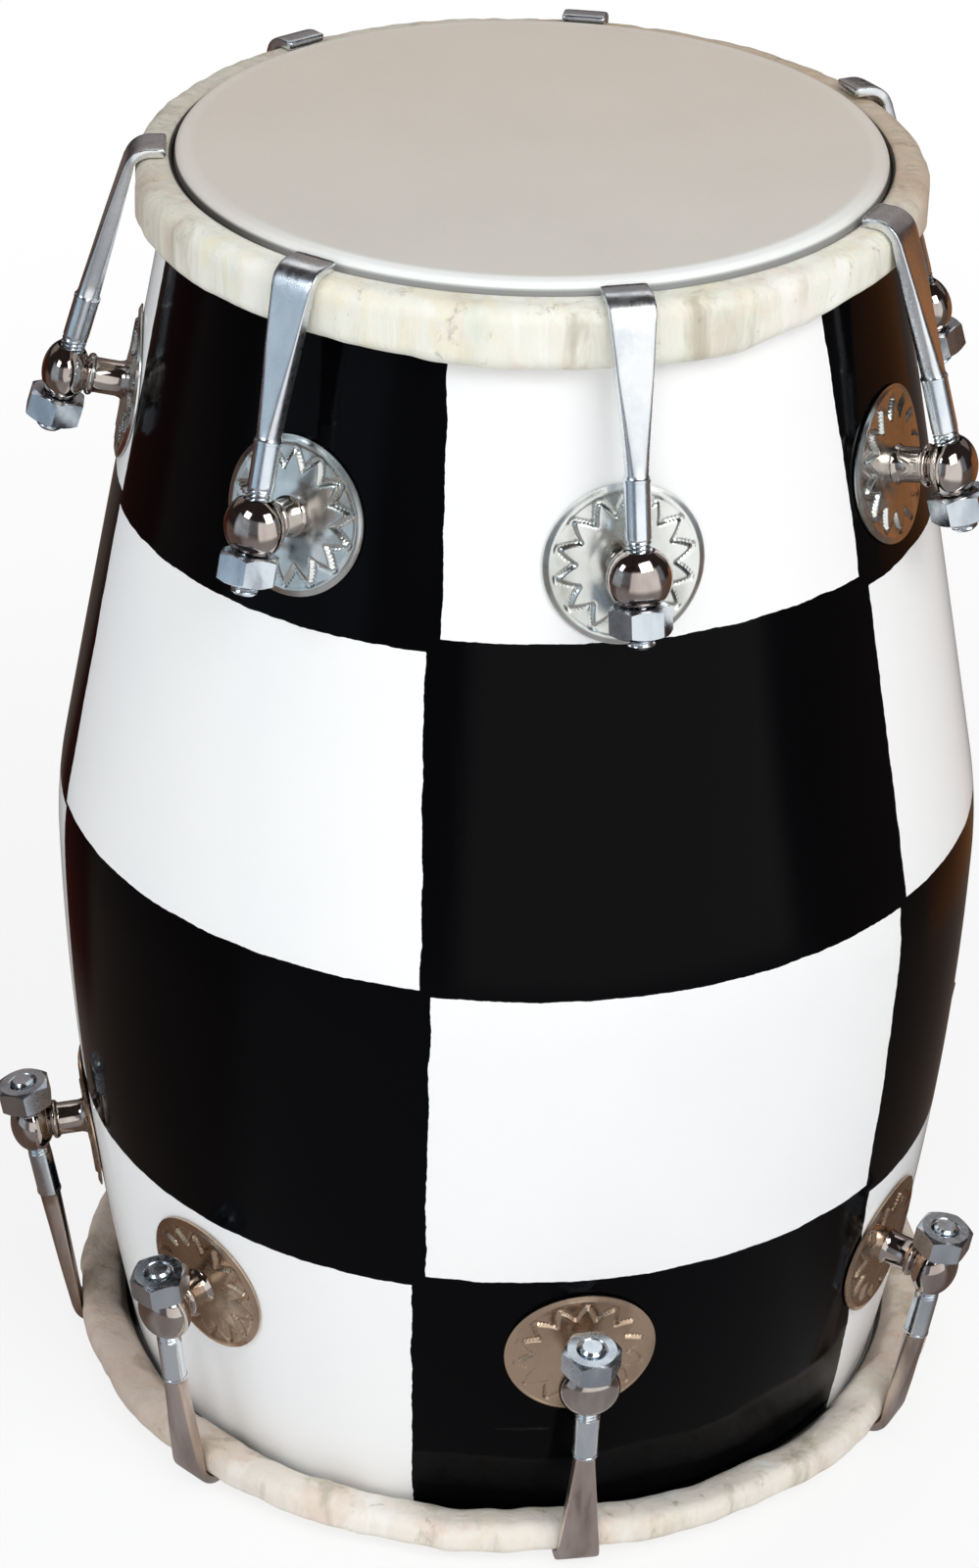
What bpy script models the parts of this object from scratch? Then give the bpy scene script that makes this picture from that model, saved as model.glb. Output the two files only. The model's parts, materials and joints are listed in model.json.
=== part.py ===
"""A dholak: a one-piece barrel drum whose two lapped skins are drawn tight by hook bolts.

Units are metres. The drum stands on the hooks of its bass head, so z = 0 is the ground and +Z runs up
the barrel's axis. The front of the drum faces -Y.

The two ends are built by the same functions. Each end is described in its own pair of coordinates,
r, the distance from the drum's axis, and s, the height measured from the barrel's widest plane
towards that end. For the treble end s runs up, and for the bass end it runs down.
"""

import math
from dataclasses import dataclass

import bmesh
import bpy
from mathutils import Matrix, Vector

# Fits
SEAT_GAP = 0.0003
FACETS = 46
FACET_RISE = 1 - math.cos(math.pi / FACETS)
CORNER_INSET = 1 - math.sqrt(0.5)

# Barrel
BELLY_RADIUS = 0.150
BELLY_BLEND = 0.014
BARREL_WALL = 0.014
RIM_ROUND = 0.002

# Skins and their lapped hoops
SKIN = 0.0012
COLLAR_GAP = 0.00035
SHOULDER_ROUND = 0.0022
HOOP_CORNER = 0.0052
HOOP_FOOT_CORNER = 0.0040
GROOVE_DEPTH = 0.0016
GROOVE_LEAN = 0.0003
GROOVE_WIDTH = 0.0022
GROOVE_LIP = 0.0002

# Hook bolts
ROD_RADIUS = 0.0040
ROD_SIDES = 8
STRAP_THICKNESS = 0.0030
STRAP_WIDTH = 0.0140
STRAP_CORNER = 0.0006
HOOK_SIDE_CLEARANCE = 0.0003
HOOK_TIP_CLEARANCE = 0.0014
NECK_WIDTH = 0.0066
NECK_THICKNESS = 0.0070
NECK_BEVEL = 0.0020
THREAD_REACH = 0.0295
THREAD_RUN_OUT = 0.0010
ROD_CHAMFER = 0.0008

# How far the strap has spread at each share of the way from the neck to the bend
STRAP_SPREAD = ((0.0, 0.0), (0.35, 0.28), (0.7, 0.68), (1.0, 0.92))

# Tuning nuts
NUT_FLATS = 0.0165
NUT_HEIGHT = 0.0088
NUT_BORE_GAP = 0.0003

# Eye posts
EYE_RADIUS = 0.0098
EYE_HALF_DEPTH = 0.0074
EYE_FLAT = 0.0076
SEAT_CUT_RADIUS = 0.0127
EYE_BORE_GAP = 0.0006
BALL_ANGLES = (48, 14, -18, -52)
BEAD_RADIUS = 0.0066
BEAD_DROP = 0.0018
SHANK_DROP = 0.0036
SHANK_RADIUS = 0.0055
POST_THREAD_RADIUS = 0.0040
POST_HOLE_GAP = 0.0004
POST_SIDES = 10
INNER_WASHER_RADIUS = 0.0100
INNER_WASHER = 0.0015
INNER_NUT_FLATS = 0.0130
INNER_NUT_HEIGHT = 0.0065

# Rosette washers
ROSETTE_RADIUS = 0.0242
ROSETTE_PLATE = 0.0008
ROSETTE_HUB = 0.0012
ROSETTE_RIDGE = 0.0018
ROSETTE_RIDGE_RADIUS = 0.0130
ROSETTE_RIDGE_FOOT = 0.0175
ROSETTE_HOLE_GAP = 0.0004
ROSETTE_SEAT = 0.0005
ROSETTE_SIDES = 12

# Loading paste inside the bass skin
PASTE_RADIUS = 0.0550
PASTE_THICKNESS = 0.0030
PASTE_EDGE = 0.0012
PASTE_TOP_RADIUS = 0.0300


@dataclass(frozen=True)
class Head:
    """One end of the drum: its barrel outline, its hoop and its ring of tuning stations."""

    name: str
    side: int
    length: float
    rim_radius: float
    swell: float
    crest_drop: float
    hoop_height: float
    hoop_width: float
    hoop_stand_off: float
    hook_reach: float
    rod_spare: float
    stations: tuple

    def barrel_radius(self, s):
        """The barrel's outer radius at height s."""
        t = s / self.length
        return BELLY_RADIUS + (self.rim_radius - BELLY_RADIUS) * t + 4 * self.swell * t * (1 - t)

    def barrel_slope(self, s):
        """How fast the outer radius changes with s."""
        t = s / self.length
        return (self.rim_radius - BELLY_RADIUS + 4 * self.swell * (1 - 2 * t)) / self.length

    @property
    def hoop_radius(self):
        """The hoop's outer side."""
        return self.rim_radius + self.hoop_width

    @property
    def eye_height(self):
        """Where the eye posts are drilled, as far below the rim as the hook bolts reach."""
        return self.length - self.hook_reach

    @property
    def face(self):
        """The playing face of the skin."""
        return self.length + SEAT_GAP + SKIN

    @property
    def crest(self):
        """The face of the hoop that the hooks bear on."""
        return self.face - self.crest_drop

    @property
    def foot(self):
        """The edge of the hoop nearest the belly."""
        return self.crest - self.hoop_height

    @property
    def collar_radius(self):
        """Where the skin turns down outside the rim."""
        return self.rim_radius + COLLAR_GAP + SKIN


TREBLE = Head(
    name="treble",
    side=1,
    length=0.2172,
    rim_radius=0.1080,
    swell=0.0003,
    crest_drop=0.0028,
    hoop_height=0.0180,
    hoop_width=0.0126,
    hoop_stand_off=0.0005,
    hook_reach=0.0772,
    rod_spare=0.0036,
    stations=(
        (-86, 0.0, 0, 0.0205),
        (-33.2, 0.0015, 0, 0.0188),
        (13.9, -0.0028, 0, 0.0168),
        (64, -0.0005, 0, 0.0196),
        (114, 0.0, -6, 0.0180),
        (172, 0.0, 0, 0.0195),
        (221, 0.0, 0, 0.0195),
    ),
)
BASS = Head(
    name="bass",
    side=-1,
    length=0.2086,
    rim_radius=0.1288,
    swell=0.0054,
    crest_drop=0.0019,
    hoop_height=0.0112,
    hoop_width=0.0187,
    hoop_stand_off=0.0025,
    hook_reach=0.0756,
    rod_spare=0.0012,
    stations=(
        (-83.3, -0.0040, 0, 0.0205),
        (-43.1, 0.0017, 0, 0.0178),
        (10, -0.0020, 0, 0.0168),
        (62.1, 0.0060, 0, 0.0195),
        (115, 0.0, 0, 0.0195),
        (167, 0.0, 0, 0.0195),
        (220, 0.0, 0, 0.0195),
    ),
)

# The drum stands on the outer faces of its bass hooks
BELLY_HEIGHT = BASS.crest + SEAT_GAP + STRAP_THICKNESS

# Heights at which the curve of the barrel's lower half is followed
BASS_OUTLINE = (
    BASS.eye_height / 2,
    BASS.eye_height,
    (BASS.eye_height + BASS.length) / 2,
)

# Colour, metallic value and roughness of each finish
FINISHES = {
    "black_and_white_lacquer": ((0.93, 0.93, 0.92), 0.0, 0.12),
    "rawhide": ((0.86, 0.80, 0.68), 0.0, 0.60),
    "loading_paste": ((0.10, 0.07, 0.05), 0.0, 0.75),
    "zinc_plated_steel": ((0.72, 0.75, 0.78), 1.0, 0.28),
    "polished_steel": ((0.78, 0.76, 0.74), 1.0, 0.12),
    "stamped_steel": ((0.74, 0.68, 0.60), 1.0, 0.22),
}


def clear_scene():
    """Empty the startup scene."""
    for obj in list(bpy.data.objects):
        bpy.data.objects.remove(obj, do_unlink=True)


def new_collection(name):
    """A collection linked to the scene."""
    collection = bpy.data.collections.new(name)
    bpy.context.scene.collection.children.link(collection)
    return collection


def finish_material(name):
    """The Principled material of one finish."""
    material = bpy.data.materials.get(name)
    if material:
        return material
    colour, metallic, roughness = FINISHES[name]
    material = bpy.data.materials.new(name)
    material.use_nodes = True
    shader = material.node_tree.nodes["Principled BSDF"]
    shader.inputs["Base Color"].default_value = (*colour, 1.0)
    shader.inputs["Metallic"].default_value = metallic
    shader.inputs["Roughness"].default_value = roughness
    material.diffuse_color = (*colour, 1.0)
    return material


def add_object(name, mesh, collection, finish, parent=None):
    """Put a mesh in the scene as a named sub-part."""
    obj = bpy.data.objects.new(name, mesh)
    collection.objects.link(obj)
    if not mesh.materials:
        mesh.materials.append(finish_material(finish))
    obj.parent = parent
    return obj


def turned(name, points, steps, closed=False):
    """An object whose profile of (radius, height) points is turned once round Z.

    The points run from the top down the outer side. A closed profile is a ring's section, and an open
    one starts and ends on the axis.
    """
    count = len(points)
    edges = [(i, i + 1) for i in range(count - 1)]
    if closed:
        edges.append((count - 1, 0))
    mesh = bpy.data.meshes.new(name)
    mesh.from_pydata([(r, 0.0, z) for r, z in points], edges, [])
    obj = bpy.data.objects.new(name, mesh)
    screw = obj.modifiers.new("turn", "SCREW")
    screw.axis = "Z"
    screw.angle = 2 * math.pi
    screw.steps = steps
    screw.render_steps = steps
    screw.use_merge_vertices = True
    screw.merge_threshold = 0.00001
    return obj


def cut(obj, tool, operation="DIFFERENCE"):
    """Add a live Boolean to an object."""
    boolean = obj.modifiers.new(tool.name, "BOOLEAN")
    boolean.operation = operation
    boolean.solver = "EXACT"
    boolean.object = tool
    return boolean


def finished_mesh(obj, tools=()):
    """The evaluated mesh of a construction object, which is then removed with its tools."""
    scene_objects = bpy.context.scene.collection.objects
    for each in (obj, *tools):
        scene_objects.link(each)
    bpy.context.view_layer.update()
    evaluated = obj.evaluated_get(bpy.context.evaluated_depsgraph_get())
    mesh = bpy.data.meshes.new_from_object(evaluated)
    mesh.name = obj.name
    for each in (obj, *tools):
        bpy.data.objects.remove(each, do_unlink=True)
    return mesh


def smooth(mesh, sharp_degrees=35):
    """Shade round faces smooth and keep real edges sharp."""
    mesh.shade_smooth()
    mesh.set_sharp_from_angle(angle=math.radians(sharp_degrees))
    return mesh


def cylinder(name, radius, length, sides, matrix):
    """A cylinder or prism centred on the matrix's origin and lying along its Z."""
    mesh = bpy.data.meshes.new(name)
    shape = bmesh.new()
    bmesh.ops.create_cone(
        shape,
        cap_ends=True,
        segments=sides,
        radius1=radius,
        radius2=radius,
        depth=length,
        matrix=matrix,
    )
    shape.to_mesh(mesh)
    shape.free()
    return bpy.data.objects.new(name, mesh)


@dataclass(frozen=True)
class Station:
    """One hook bolt with its nut, eye post and rosette, laid out in an end's (r, s) plane.

    The azimuth is measured from the front towards +X, rise is how much nearer the head this eye was
    drilled than the others, skew is the angle by which the rod is swung round its eye post, and
    standoff is how far the post holds the rod off the barrel.
    """

    head: Head
    azimuth: float
    rise: float
    skew: float
    standoff: float

    @property
    def lean(self):
        """The angle of the eye post, which stands square to the barrel's slope."""
        return math.atan(-self.head.barrel_slope(self.surface.y))

    @property
    def surface(self):
        """Where the post's axis meets the barrel's outside."""
        s = self.head.eye_height + self.rise
        return Vector((self.head.barrel_radius(s), s))

    @property
    def outward(self):
        """The post's own direction."""
        return Vector((math.cos(self.lean), math.sin(self.lean)))

    @property
    def eye(self):
        """The centre of the eye, where the rod crosses the post's axis."""
        return self.surface + self.standoff * self.outward

    @property
    def bend_radius(self):
        """The radius of the strap's middle as it turns over the hoop."""
        return HOOP_CORNER + SEAT_GAP + STRAP_THICKNESS / 2

    @property
    def skew_lift(self):
        """How much longer a skewed rod is, so that the low edge of its strap clears the hoop."""
        angle = math.radians(abs(self.skew))
        reach = self.head.crest - self.eye.y
        return reach * (1 - math.cos(angle)) + STRAP_WIDTH / 2 * math.sin(angle)

    @property
    def bend_centre(self):
        """The centre of that turn, a little outside the centre of the hoop's own corner."""
        return Vector(
            (
                self.head.hoop_radius - HOOP_CORNER + HOOK_SIDE_CLEARANCE,
                self.head.crest - HOOP_CORNER + self.skew_lift,
            )
        )

    @property
    def slant(self):
        """The rod's angle from upright, which makes it run from the eye tangent to the turn."""
        way = self.bend_centre - self.eye
        return math.atan2(way.y, way.x) - math.acos(-self.bend_radius / way.length)

    @property
    def along(self):
        """The rod's direction, from the eye towards the head."""
        return Vector((-math.sin(self.slant), math.cos(self.slant)))

    @property
    def across(self):
        """The direction square to the rod, away from the drum."""
        return Vector((math.cos(self.slant), math.sin(self.slant)))

    @property
    def bend_start(self):
        """How far along the rod from the eye the turn begins."""
        return (self.bend_centre - self.eye).dot(self.along)

    @property
    def tip_radius(self):
        """Where the hook ends, just outside the collar of the skin."""
        return self.head.collar_radius + HOOK_TIP_CLEARANCE

    def in_rod_frame(self, point):
        """An (r, s) point as (x, z) in the frame that has the eye at its origin and the rod on Z."""
        way = point - self.eye
        return Vector((way.dot(self.across), way.dot(self.along)))

    def matrix(self):
        """The rod frame: its origin at the eye, Z along the rod to the head and X away from the drum."""
        angle = math.radians(self.azimuth)
        radial = Vector((math.sin(angle), -math.cos(angle), 0.0))
        up = Vector((0.0, 0.0, self.head.side))
        x_axis = radial * self.across.x + up * self.across.y
        z_axis = radial * self.along.x + up * self.along.y
        y_axis = z_axis.cross(x_axis)
        turn = Matrix((x_axis, y_axis, z_axis)).transposed().to_4x4()
        post = radial * self.outward.x + up * self.outward.y
        swing = Matrix.Rotation(math.radians(self.skew), 4, post)
        origin = radial * self.eye.x + Vector((0.0, 0.0, BELLY_HEIGHT)) + up * self.eye.y
        return Matrix.Translation(origin) @ swing @ turn


def wood_corner(head):
    """The rounded outer corner of one rim, from its top to its side."""
    side_radius = head.barrel_radius(head.length - RIM_ROUND)
    return [
        (side_radius - RIM_ROUND, head.length),
        (side_radius - CORNER_INSET * RIM_ROUND, head.length - CORNER_INSET * RIM_ROUND),
        (side_radius, head.length - RIM_ROUND),
    ]


def belly_point(t):
    """A point of the rounded belly, from t = 0 on the treble side to t = 1 on the bass side."""
    start = Vector((TREBLE.barrel_radius(BELLY_BLEND), BELLY_BLEND))
    middle = Vector((BELLY_RADIUS, 0.0))
    end = Vector((BASS.barrel_radius(BELLY_BLEND), -BELLY_BLEND))
    return (1 - t) ** 2 * start + 2 * t * (1 - t) * middle + t**2 * end


def barrel_section():
    """The wall of the barrel, as (radius, height above the widest plane)."""
    outer = wood_corner(TREBLE)
    outer += [(TREBLE.barrel_radius(TREBLE.eye_height), TREBLE.eye_height)]
    outer += [tuple(belly_point(t)) for t in (0.0, 0.5, 1.0)]
    outer += [(BASS.barrel_radius(s), -s) for s in BASS_OUTLINE]
    outer += [(r, -s) for r, s in reversed(wood_corner(BASS))]
    inner = [
        (BASS.barrel_radius(s) - BARREL_WALL, -s)
        for s in (BASS.length, BASS.eye_height, BASS_OUTLINE[0])
    ]
    inner.append((BELLY_RADIUS - BARREL_WALL, 0.0))
    inner.append((TREBLE.rim_radius - BARREL_WALL, TREBLE.length))
    return outer + inner


def build_barrel(parts, cutters):
    """The hollow wooden barrel, bored for the eye posts."""
    points = [(r, z + BELLY_HEIGHT) for r, z in barrel_section()]
    barrel = turned("barrel_shell", points, FACETS, closed=True)
    parts.objects.link(barrel)
    barrel.data.materials.append(finish_material("black_and_white_lacquer"))
    drills = bmesh.new()
    radius = POST_THREAD_RADIUS + POST_HOLE_GAP
    for head in (TREBLE, BASS):
        for row in head.stations:
            station = Station(head, *row)
            place = station.matrix() @ post_turn(station)
            place = place @ Matrix.Translation((0.0, 0.0, -station.standoff))
            bmesh.ops.create_cone(
                drills,
                cap_ends=True,
                segments=POST_SIDES,
                radius1=radius,
                radius2=radius,
                depth=4 * BARREL_WALL,
                matrix=place,
            )
    mesh = bpy.data.meshes.new("post_drills")
    drills.to_mesh(mesh)
    drills.free()
    tool = bpy.data.objects.new("post_drills", mesh)
    tool.hide_render = True
    tool.display_type = "WIRE"
    cutters.objects.link(tool)
    cut(barrel, tool)
    return barrel


def inside_corner(head, rim_side, under):
    """The skin's inner face as it turns over the rounded rim, from its side to its top."""
    side_radius = head.barrel_radius(rim_side)
    slack = math.sqrt(0.5) * COLLAR_GAP
    inset = CORNER_INSET * RIM_ROUND
    return [
        (side_radius + COLLAR_GAP, rim_side),
        (side_radius - inset + slack, head.length - inset + slack),
        (side_radius - RIM_ROUND, under),
    ]


def head_section(head):
    """A skin with its collar and lapped hoop, as (r, s) from the centre out and back underneath."""
    face, crest, foot = head.face, head.crest, head.foot
    collar = head.collar_radius
    outer = head.hoop_radius
    lap_inside = head.barrel_radius(foot) + head.hoop_stand_off
    root = crest - 2 * GROOVE_DEPTH
    under = head.length + SEAT_GAP
    rim_side = head.length - RIM_ROUND
    corner = CORNER_INSET * HOOP_CORNER
    inset = CORNER_INSET * SHOULDER_ROUND
    return [
        (0.0, face),
        (collar - SHOULDER_ROUND, face),
        (collar - inset, face - inset),
        (collar, face - SHOULDER_ROUND),
        (collar + GROOVE_LEAN, crest - GROOVE_DEPTH),
        (collar + GROOVE_WIDTH, crest - GROOVE_LIP),
        (outer - HOOP_CORNER, crest),
        (outer - corner, crest - corner),
        (outer, crest - HOOP_CORNER),
        (outer, foot + HOOP_FOOT_CORNER),
        (outer - HOOP_FOOT_CORNER, foot),
        (lap_inside, foot),
        (head.barrel_radius(root) + COLLAR_GAP, root),
        *inside_corner(head, rim_side, under),
        (0.0, under),
    ]


def world_profile(head, section):
    """An end's section as (radius, z), running down the outer side whichever way up it is."""
    points = [(r, BELLY_HEIGHT + head.side * s) for r, s in section]
    return points if head.side > 0 else points[::-1]


def build_skin(head, parts):
    """One skin, lapped round its hoop."""
    skin = turned(f"{head.name}_head", world_profile(head, head_section(head)), FACETS)
    parts.objects.link(skin)
    skin.data.materials.append(finish_material("rawhide"))
    return skin


def build_paste(parts):
    """The disc of tuning paste stuck to the inside of the bass skin."""
    seat = BASS.length
    section = [
        (0.0, seat),
        (PASTE_RADIUS, seat),
        (PASTE_RADIUS - PASTE_EDGE, seat - PASTE_THICKNESS / 2),
        (PASTE_TOP_RADIUS, seat - PASTE_THICKNESS),
        (0.0, seat - PASTE_THICKNESS),
    ]
    paste = turned("bass_loading_paste", world_profile(BASS, section), FACETS // 2)
    parts.objects.link(paste)
    paste.data.materials.append(finish_material("loading_paste"))
    return paste


def post_turn(station):
    """The turn from the rod frame to the post frame, whose Z is the post's outward direction."""
    return Matrix.Rotation(math.pi / 2 + station.slant - station.lean, 4, "Y")


def rod_ring(half_width, half_depth, cut_width, cut_depth):
    """Eight corners of a section: x across the strap's thickness and y across its width."""
    quarter = [
        (half_depth, half_width - cut_width),
        (half_depth - cut_depth, half_width),
    ]
    right = quarter
    left = [(-x, y) for x, y in reversed(quarter)]
    back = [(-x, -y) for x, y in right]
    front = [(-x, -y) for x, y in left]
    return right + left + back + front


def round_ring(radius):
    """The same eight corners on a circle."""
    reach = radius * math.cos(math.pi / ROD_SIDES)
    cut_off = reach - radius * math.sin(math.pi / ROD_SIDES)
    return rod_ring(reach, reach, cut_off, cut_off)


def strap_ring(share):
    """The forged part's section, from the neck (share 0) to the full strap (share 1)."""
    width = NECK_WIDTH + (STRAP_WIDTH - NECK_WIDTH) * share
    depth = NECK_THICKNESS + (STRAP_THICKNESS - NECK_THICKNESS) * share
    bevel = STRAP_CORNER + (NECK_BEVEL - STRAP_CORNER) * (1 - share)
    return rod_ring(width / 2, depth / 2, bevel, bevel)


def hook_path(station):
    """The hook's sections along its middle line: (point, direction, ring) in the rod frame."""
    nut_end = EYE_FLAT + SEAT_GAP + NUT_HEIGHT + station.head.rod_spare
    up = Vector((0.0, 1.0))
    sections = [
        (Vector((0.0, -nut_end)), up, round_ring(ROD_RADIUS - ROD_CHAMFER)),
        (Vector((0.0, -nut_end + ROD_CHAMFER)), up, round_ring(ROD_RADIUS)),
        (Vector((0.0, THREAD_REACH)), up, round_ring(ROD_RADIUS)),
    ]
    neck = THREAD_REACH + THREAD_RUN_OUT
    for share, width_share in STRAP_SPREAD:
        height = neck + (station.bend_start - neck) * share
        sections.append((Vector((0.0, height)), up, strap_ring(width_share)))
    centre = station.in_rod_frame(station.bend_centre)
    arm_angle = math.pi / 2 - station.slant
    for share in (1 / 3, 2 / 3, 1.0):
        angle = arm_angle * share
        point = centre + station.bend_radius * Vector((math.cos(angle), math.sin(angle)))
        sections.append((point, Vector((-math.sin(angle), math.cos(angle))), strap_ring(1.0)))
    arm = Vector((-math.sin(arm_angle), math.cos(arm_angle)))
    length = station.bend_centre.x - station.tip_radius
    start = sections[-1][0]
    bevel = STRAP_THICKNESS / 4
    sections.append((start + arm * (length - bevel), arm, strap_ring(1.0)))
    tip = rod_ring(
        STRAP_WIDTH / 2 - bevel, STRAP_THICKNESS / 2 - bevel / 2, STRAP_CORNER, STRAP_CORNER
    )
    sections.append((start + arm * length, arm, tip))
    return sections


def hook_mesh(station):
    """A forged hook bolt: a round threaded rod drawn out into a flat strap that turns over the hoop."""
    mesh = bpy.data.meshes.new(f"{station.head.name}_hook")
    shape = bmesh.new()
    rings = []
    for point, along, ring in hook_path(station):
        side = Vector((along.y, -along.x))
        corners = [point + side * x for x, _ in ring]
        rings.append(
            [shape.verts.new((c.x, y, c.y)) for c, (_, y) in zip(corners, ring, strict=True)]
        )
    loops = [
        [shape.edges.new((ring[i], ring[(i + 1) % ROD_SIDES])) for i in range(ROD_SIDES)]
        for ring in rings
    ]
    for lower, upper in zip(loops, loops[1:], strict=False):
        bmesh.ops.bridge_loops(shape, edges=lower + upper)
    shape.faces.new(rings[0])
    shape.faces.new(rings[-1])
    bmesh.ops.recalc_face_normals(shape, faces=shape.faces)
    shape.to_mesh(mesh)
    shape.free()
    return smooth(mesh)


def nut_mesh(name, flats, height, bore_radius):
    """A hexagon nut with its lower face at z = 0, bored to turn freely on the rod."""
    corner_radius = flats / math.sqrt(3)
    bore_corner = bore_radius / math.cos(math.pi / ROD_SIDES)
    body = cylinder(
        name, corner_radius, height, 6, Matrix.Translation((0.0, 0.0, height / 2))
    )
    bore = cylinder(
        "nut_bore", bore_corner, 2 * height, ROD_SIDES, Matrix.Translation((0.0, 0.0, height / 2))
    )
    cut(body, bore)
    return smooth(finished_mesh(body, [bore]))


def eye_section(station):
    """The eye post, as (radius, distance outwards from the rod's axis)."""
    shoulder = -station.standoff + ROSETTE_SEAT + ROSETTE_HUB + SEAT_GAP
    inner_radius = station.surface.x - BARREL_WALL
    dish = INNER_WASHER_RADIUS**2 / (2 * inner_radius) + inner_radius * FACET_RISE
    washer = -station.standoff - BARREL_WALL * math.cos(station.lean) - dish - SEAT_GAP
    ball = [
        (EYE_RADIUS * math.cos(angle), EYE_HALF_DEPTH * math.sin(angle))
        for angle in (math.radians(a) for a in BALL_ANGLES)
    ]
    valley = ball[-1][1]
    return [
        (0.0, EYE_HALF_DEPTH),
        *ball,
        (BEAD_RADIUS, valley - BEAD_DROP),
        (SHANK_RADIUS, valley - SHANK_DROP),
        (SHANK_RADIUS, shoulder),
        (POST_THREAD_RADIUS, shoulder),
        (POST_THREAD_RADIUS, washer),
        (INNER_WASHER_RADIUS, washer),
        (INNER_WASHER_RADIUS, washer - INNER_WASHER),
        (0.0, washer - INNER_WASHER),
    ]


def eye_mesh(station):
    """A ball-ended eye post with the washer and nut that clamp it inside the barrel."""
    section = eye_section(station)
    back = section[-1][1]
    post = turned(f"{station.head.name}_eye_post", section, POST_SIDES)
    clamp_nut = cylinder(
        "clamp_nut",
        INNER_NUT_FLATS / math.sqrt(3),
        INNER_NUT_HEIGHT + INNER_WASHER / 2,
        6,
        Matrix.Translation((0.0, 0.0, back + INNER_WASHER / 4 - INNER_NUT_HEIGHT / 2)),
    )
    rod_frame = post_turn(station).inverted()
    bore = cylinder(
        "eye_bore", ROD_RADIUS + EYE_BORE_GAP, 4 * EYE_RADIUS, ROD_SIDES, rod_frame
    )
    seat_depth = 2 * (EYE_RADIUS - EYE_FLAT) + EYE_RADIUS
    seat = cylinder(
        "nut_seat",
        SEAT_CUT_RADIUS,
        seat_depth,
        ROD_SIDES,
        rod_frame @ Matrix.Translation((0.0, 0.0, -EYE_FLAT - seat_depth / 2)),
    )
    cut(post, clamp_nut, "UNION")
    cut(post, bore)
    cut(post, seat)
    return smooth(finished_mesh(post, [clamp_nut, bore, seat]))


def rosette_mesh(station):
    """A stamped washer with a raised ring, sprung to the curve of the barrel."""
    hole = POST_THREAD_RADIUS + ROSETTE_HOLE_GAP
    section = [
        (hole, ROSETTE_SEAT + ROSETTE_HUB),
        (ROSETTE_RIDGE_RADIUS, ROSETTE_SEAT + ROSETTE_RIDGE),
        (ROSETTE_RIDGE_FOOT, ROSETTE_SEAT + ROSETTE_PLATE),
        (ROSETTE_RADIUS, ROSETTE_SEAT + ROSETTE_PLATE),
        (ROSETTE_RADIUS, ROSETTE_SEAT),
        (hole, ROSETTE_SEAT),
    ]
    disc = turned(f"{station.head.name}_rosette", section, ROSETTE_SIDES, closed=True)
    mesh = finished_mesh(disc)
    curve = station.surface.x / math.cos(station.lean)
    for vertex in mesh.vertices:
        vertex.co.z -= curve - math.sqrt(curve**2 - vertex.co.y**2)
    return smooth(mesh)


def build_station_pieces(head, parts):
    """The tuning stations of one end, each on its own empty at the eye."""
    nut = nut_mesh(f"{head.name}_nut", NUT_FLATS, NUT_HEIGHT, ROD_RADIUS + NUT_BORE_GAP)
    for number, row in enumerate(head.stations, start=1):
        station = Station(head, *row)
        tilt = post_turn(station)
        frame = bpy.data.objects.new(f"{head.name}_station_{number}", None)
        parts.objects.link(frame)
        frame.matrix_world = station.matrix()
        hook = hook_mesh(station)
        post = eye_mesh(station)
        rosette = rosette_mesh(station)
        add_object(f"{head.name}_hook_{number}", hook, parts, "zinc_plated_steel", frame)
        nut_object = add_object(
            f"{head.name}_nut_{number}", nut, parts, "zinc_plated_steel", frame
        )
        nut_object.location.z = -EYE_FLAT - SEAT_GAP - NUT_HEIGHT
        post_object = add_object(
            f"{head.name}_eye_post_{number}", post, parts, "polished_steel", frame
        )
        post_object.matrix_local = tilt
        rosette_object = add_object(
            f"{head.name}_rosette_{number}", rosette, parts, "stamped_steel", frame
        )
        rosette_object.matrix_local = tilt @ Matrix.Translation((0.0, 0.0, -station.standoff))


def main():
    """Build the drum."""
    clear_scene()
    parts = new_collection("dholak")
    cutters = new_collection("dholak_cutters")
    build_barrel(parts, cutters)
    for head in (TREBLE, BASS):
        build_skin(head, parts)
        build_station_pieces(head, parts)
    build_paste(parts)


main()
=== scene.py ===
"""The looks of a dholak: a lacquered barrel drum with lapped skins drawn tight by hook bolts.

Units are metres. The drum stands on the hooks of its bass head at z = 0, +Z runs up the barrel's axis
and the front of the drum faces -Y. Each end is laid out in its own pair of coordinates: r, the
distance from the axis, and s, the height measured from the barrel's widest plane towards that end.
"""

import json
import logging
import math
from collections.abc import Callable, Iterable, Sequence
from dataclasses import dataclass
from enum import Enum

import bmesh
import bpy
from mathutils import Matrix, Vector, noise

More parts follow.
